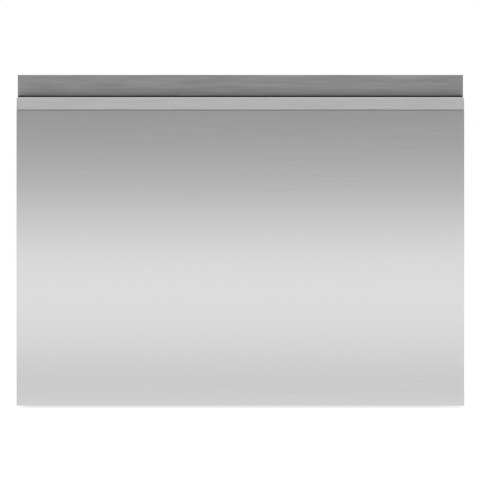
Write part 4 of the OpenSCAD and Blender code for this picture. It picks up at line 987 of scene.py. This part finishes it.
def make_floor():
    """White floor that keeps the object's shadow."""
    reach = FLOOR_SIZE / 2
    corners = [(-reach, -reach, 0), (reach, -reach, 0), (reach, reach, 0), (-reach, reach, 0)]
    mesh = bpy.data.meshes.new("floor")
    mesh.from_pydata(corners, [], [(0, 1, 2, 3)])
    floor = bpy.data.objects.new("floor", mesh)
    bpy.context.scene.collection.objects.link(floor)
    material = bpy.data.materials.new("floor")
    material.use_nodes = True
    tree = material.node_tree
    tree.nodes.clear()
    out = tree.nodes.new("ShaderNodeOutputMaterial")
    matt = tree.nodes.new("ShaderNodeBsdfDiffuse")
    matt.inputs["Color"].default_value = (FLOOR_BOUNCE, FLOOR_BOUNCE, FLOOR_BOUNCE, 1)
    thin = tree.nodes.new("ShaderNodeBsdfDiffuse")
    thin.inputs["Color"].default_value = (FLOOR_SHADE, FLOOR_SHADE, FLOOR_SHADE, 1)
    glow = tree.nodes.new("ShaderNodeEmission")
    coords = tree.nodes.new("ShaderNodeTexCoord")
    distance = tree.nodes.new("ShaderNodeVectorMath")
    distance.operation = "LENGTH"
    tree.links.new(coords.outputs["Object"], distance.inputs[0])
    level = tree.nodes.new("ShaderNodeMapRange")
    for key, number in zip(("From Min", "From Max", "To Min", "To Max"), FLOOR_FADE + FLOOR_GLOW):
        level.inputs[key].default_value = number
    tree.links.new(distance.outputs["Value"], level.inputs["Value"])
    tree.links.new(level.outputs["Result"], glow.inputs["Strength"])
    white = tree.nodes.new("ShaderNodeAddShader")
    tree.links.new(thin.outputs[0], white.inputs[0])
    tree.links.new(glow.outputs[0], white.inputs[1])
    mix = tree.nodes.new("ShaderNodeMixShader")
    tree.links.new(seen_directly(tree), mix.inputs[0])
    tree.links.new(matt.outputs[0], mix.inputs[1])
    tree.links.new(white.outputs[0], mix.inputs[2])
    tree.links.new(mix.outputs[0], out.inputs["Surface"])
    mesh.materials.append(material)


def reflector(name, corners):
    """A glowing face that only metal and gloss show. Gives its node tree and emission node."""
    mesh = bpy.data.meshes.new(name)
    mesh.from_pydata(corners, [], [(0, 1, 2, 3)])
    face = bpy.data.objects.new(name, mesh)
    bpy.context.scene.collection.objects.link(face)
    material = bpy.data.materials.new(name)
    material.use_nodes = True
    tree = material.node_tree
    tree.nodes.clear()
    out = tree.nodes.new("ShaderNodeOutputMaterial")
    glow = tree.nodes.new("ShaderNodeEmission")
    tree.links.new(glow.outputs[0], out.inputs["Surface"])
    mesh.materials.append(material)
    for flag in ("visible_camera", "visible_diffuse", "visible_transmission", "visible_shadow"):
        setattr(face, flag, False)
    return tree, glow


def grade(tree, glow, axis, start, end, shades):
    """The glow's shade along an axis, from start to end: (metres from the start, shade) pairs."""
    coords = tree.nodes.new("ShaderNodeTexCoord")
    split = tree.nodes.new("ShaderNodeSeparateXYZ")
    share = tree.nodes.new("ShaderNodeMapRange")
    ramp = tree.nodes.new("ShaderNodeValToRGB")
    share.inputs["From Min"].default_value = start
    share.inputs["From Max"].default_value = end
    tree.links.new(coords.outputs["Object"], split.inputs[0])
    tree.links.new(split.outputs[axis], share.inputs["Value"])
    tree.links.new(share.outputs["Result"], ramp.inputs["Fac"])
    tree.links.new(ramp.outputs["Color"], glow.inputs["Color"])
    stops = ramp.color_ramp.elements
    while len(stops) < len(shades):
        stops.new(0.5)
    for stop, (distance, shade) in zip(stops, shades):
        stop.position = distance / abs(end - start)
        stop.color = (shade, shade, shade, 1)


def make_reflectors():
    """What the steel front shows: a panel before it, and a floor that dims towards that panel.

    The panel is bright low down, darkest just above the door's height and pale at its top.
    """
    gap, half_width, top = 0.55, 3.0, 3.0
    low, clear = 0.001, 0.002         # above the floor and before the door
    near, far = FACE_Y - clear, FACE_Y - gap
    tree, glow = reflector("dim_floor", [(-half_width, far, low), (half_width, far, low),
                                         (half_width, near, low), (-half_width, near, low)])
    grade(tree, glow, "Y", FACE_Y, far, ((0.0, 0.91), (0.12, 0.90), (gap, 0.50)))
    tree, glow = reflector("graded_panel", [(-half_width, far, low), (half_width, far, low),
                                            (half_width, far, top), (-half_width, far, top)])
    grade(tree, glow, "Z", 0.0, top, (
        (0.0, 0.50), (0.06, 1.0), (0.13, 1.05), (0.2, 1.11), (0.27, 0.70), (0.34, 0.47),
        (0.42, 0.40), (0.52, 0.18), (0.65, 0.52), (0.87, 0.54), (1.2, 0.8), (top, 1.1)))


def area_light(name, place, size, watts):
    """A soft lamp that faces the object and doesn't show in metal or gloss."""
    light = bpy.data.lights.new(name, "AREA")
    light.shape = "RECTANGLE"
    light.size, light.size_y = size
    light.energy = watts
    lamp = bpy.data.objects.new(name, light)
    lamp.location = place
    lamp.rotation_euler = (Vector(LIT_POINT) - Vector(place)).to_track_quat("-Z", "Y").to_euler()
    bpy.context.scene.collection.objects.link(lamp)
    lamp.visible_glossy = False


def make_camera():
    """Level camera, square to the door."""
    camera = bpy.data.cameras.new("camera")
    camera.type = "PERSP"
    camera.sensor_width = SENSOR
    camera.lens = SENSOR * CAMERA_GAP / VIEW_WIDTH
    camera.clip_end = 100
    rig = bpy.data.objects.new("camera", camera)
    rig.location = (VIEW_CENTRE[0], FACE_Y - CAMERA_GAP, VIEW_CENTRE[1])
    rig.rotation_euler = (math.radians(90), 0, 0)
    bpy.context.scene.collection.objects.link(rig)
    bpy.context.scene.camera = rig


make_world()
make_floor()
make_reflectors()
area_light("key", (-1.4, -2.2, 2.4), (1.6, 1.6), 46)
area_light("fill", (2.2, -1.6, 1.4), (1.4, 1.4), 20)
area_light("top", (0.2, 0.6, 2.8), (1.8, 1.8), 22)
make_camera()
bpy.context.scene.view_settings.view_transform = "Standard"
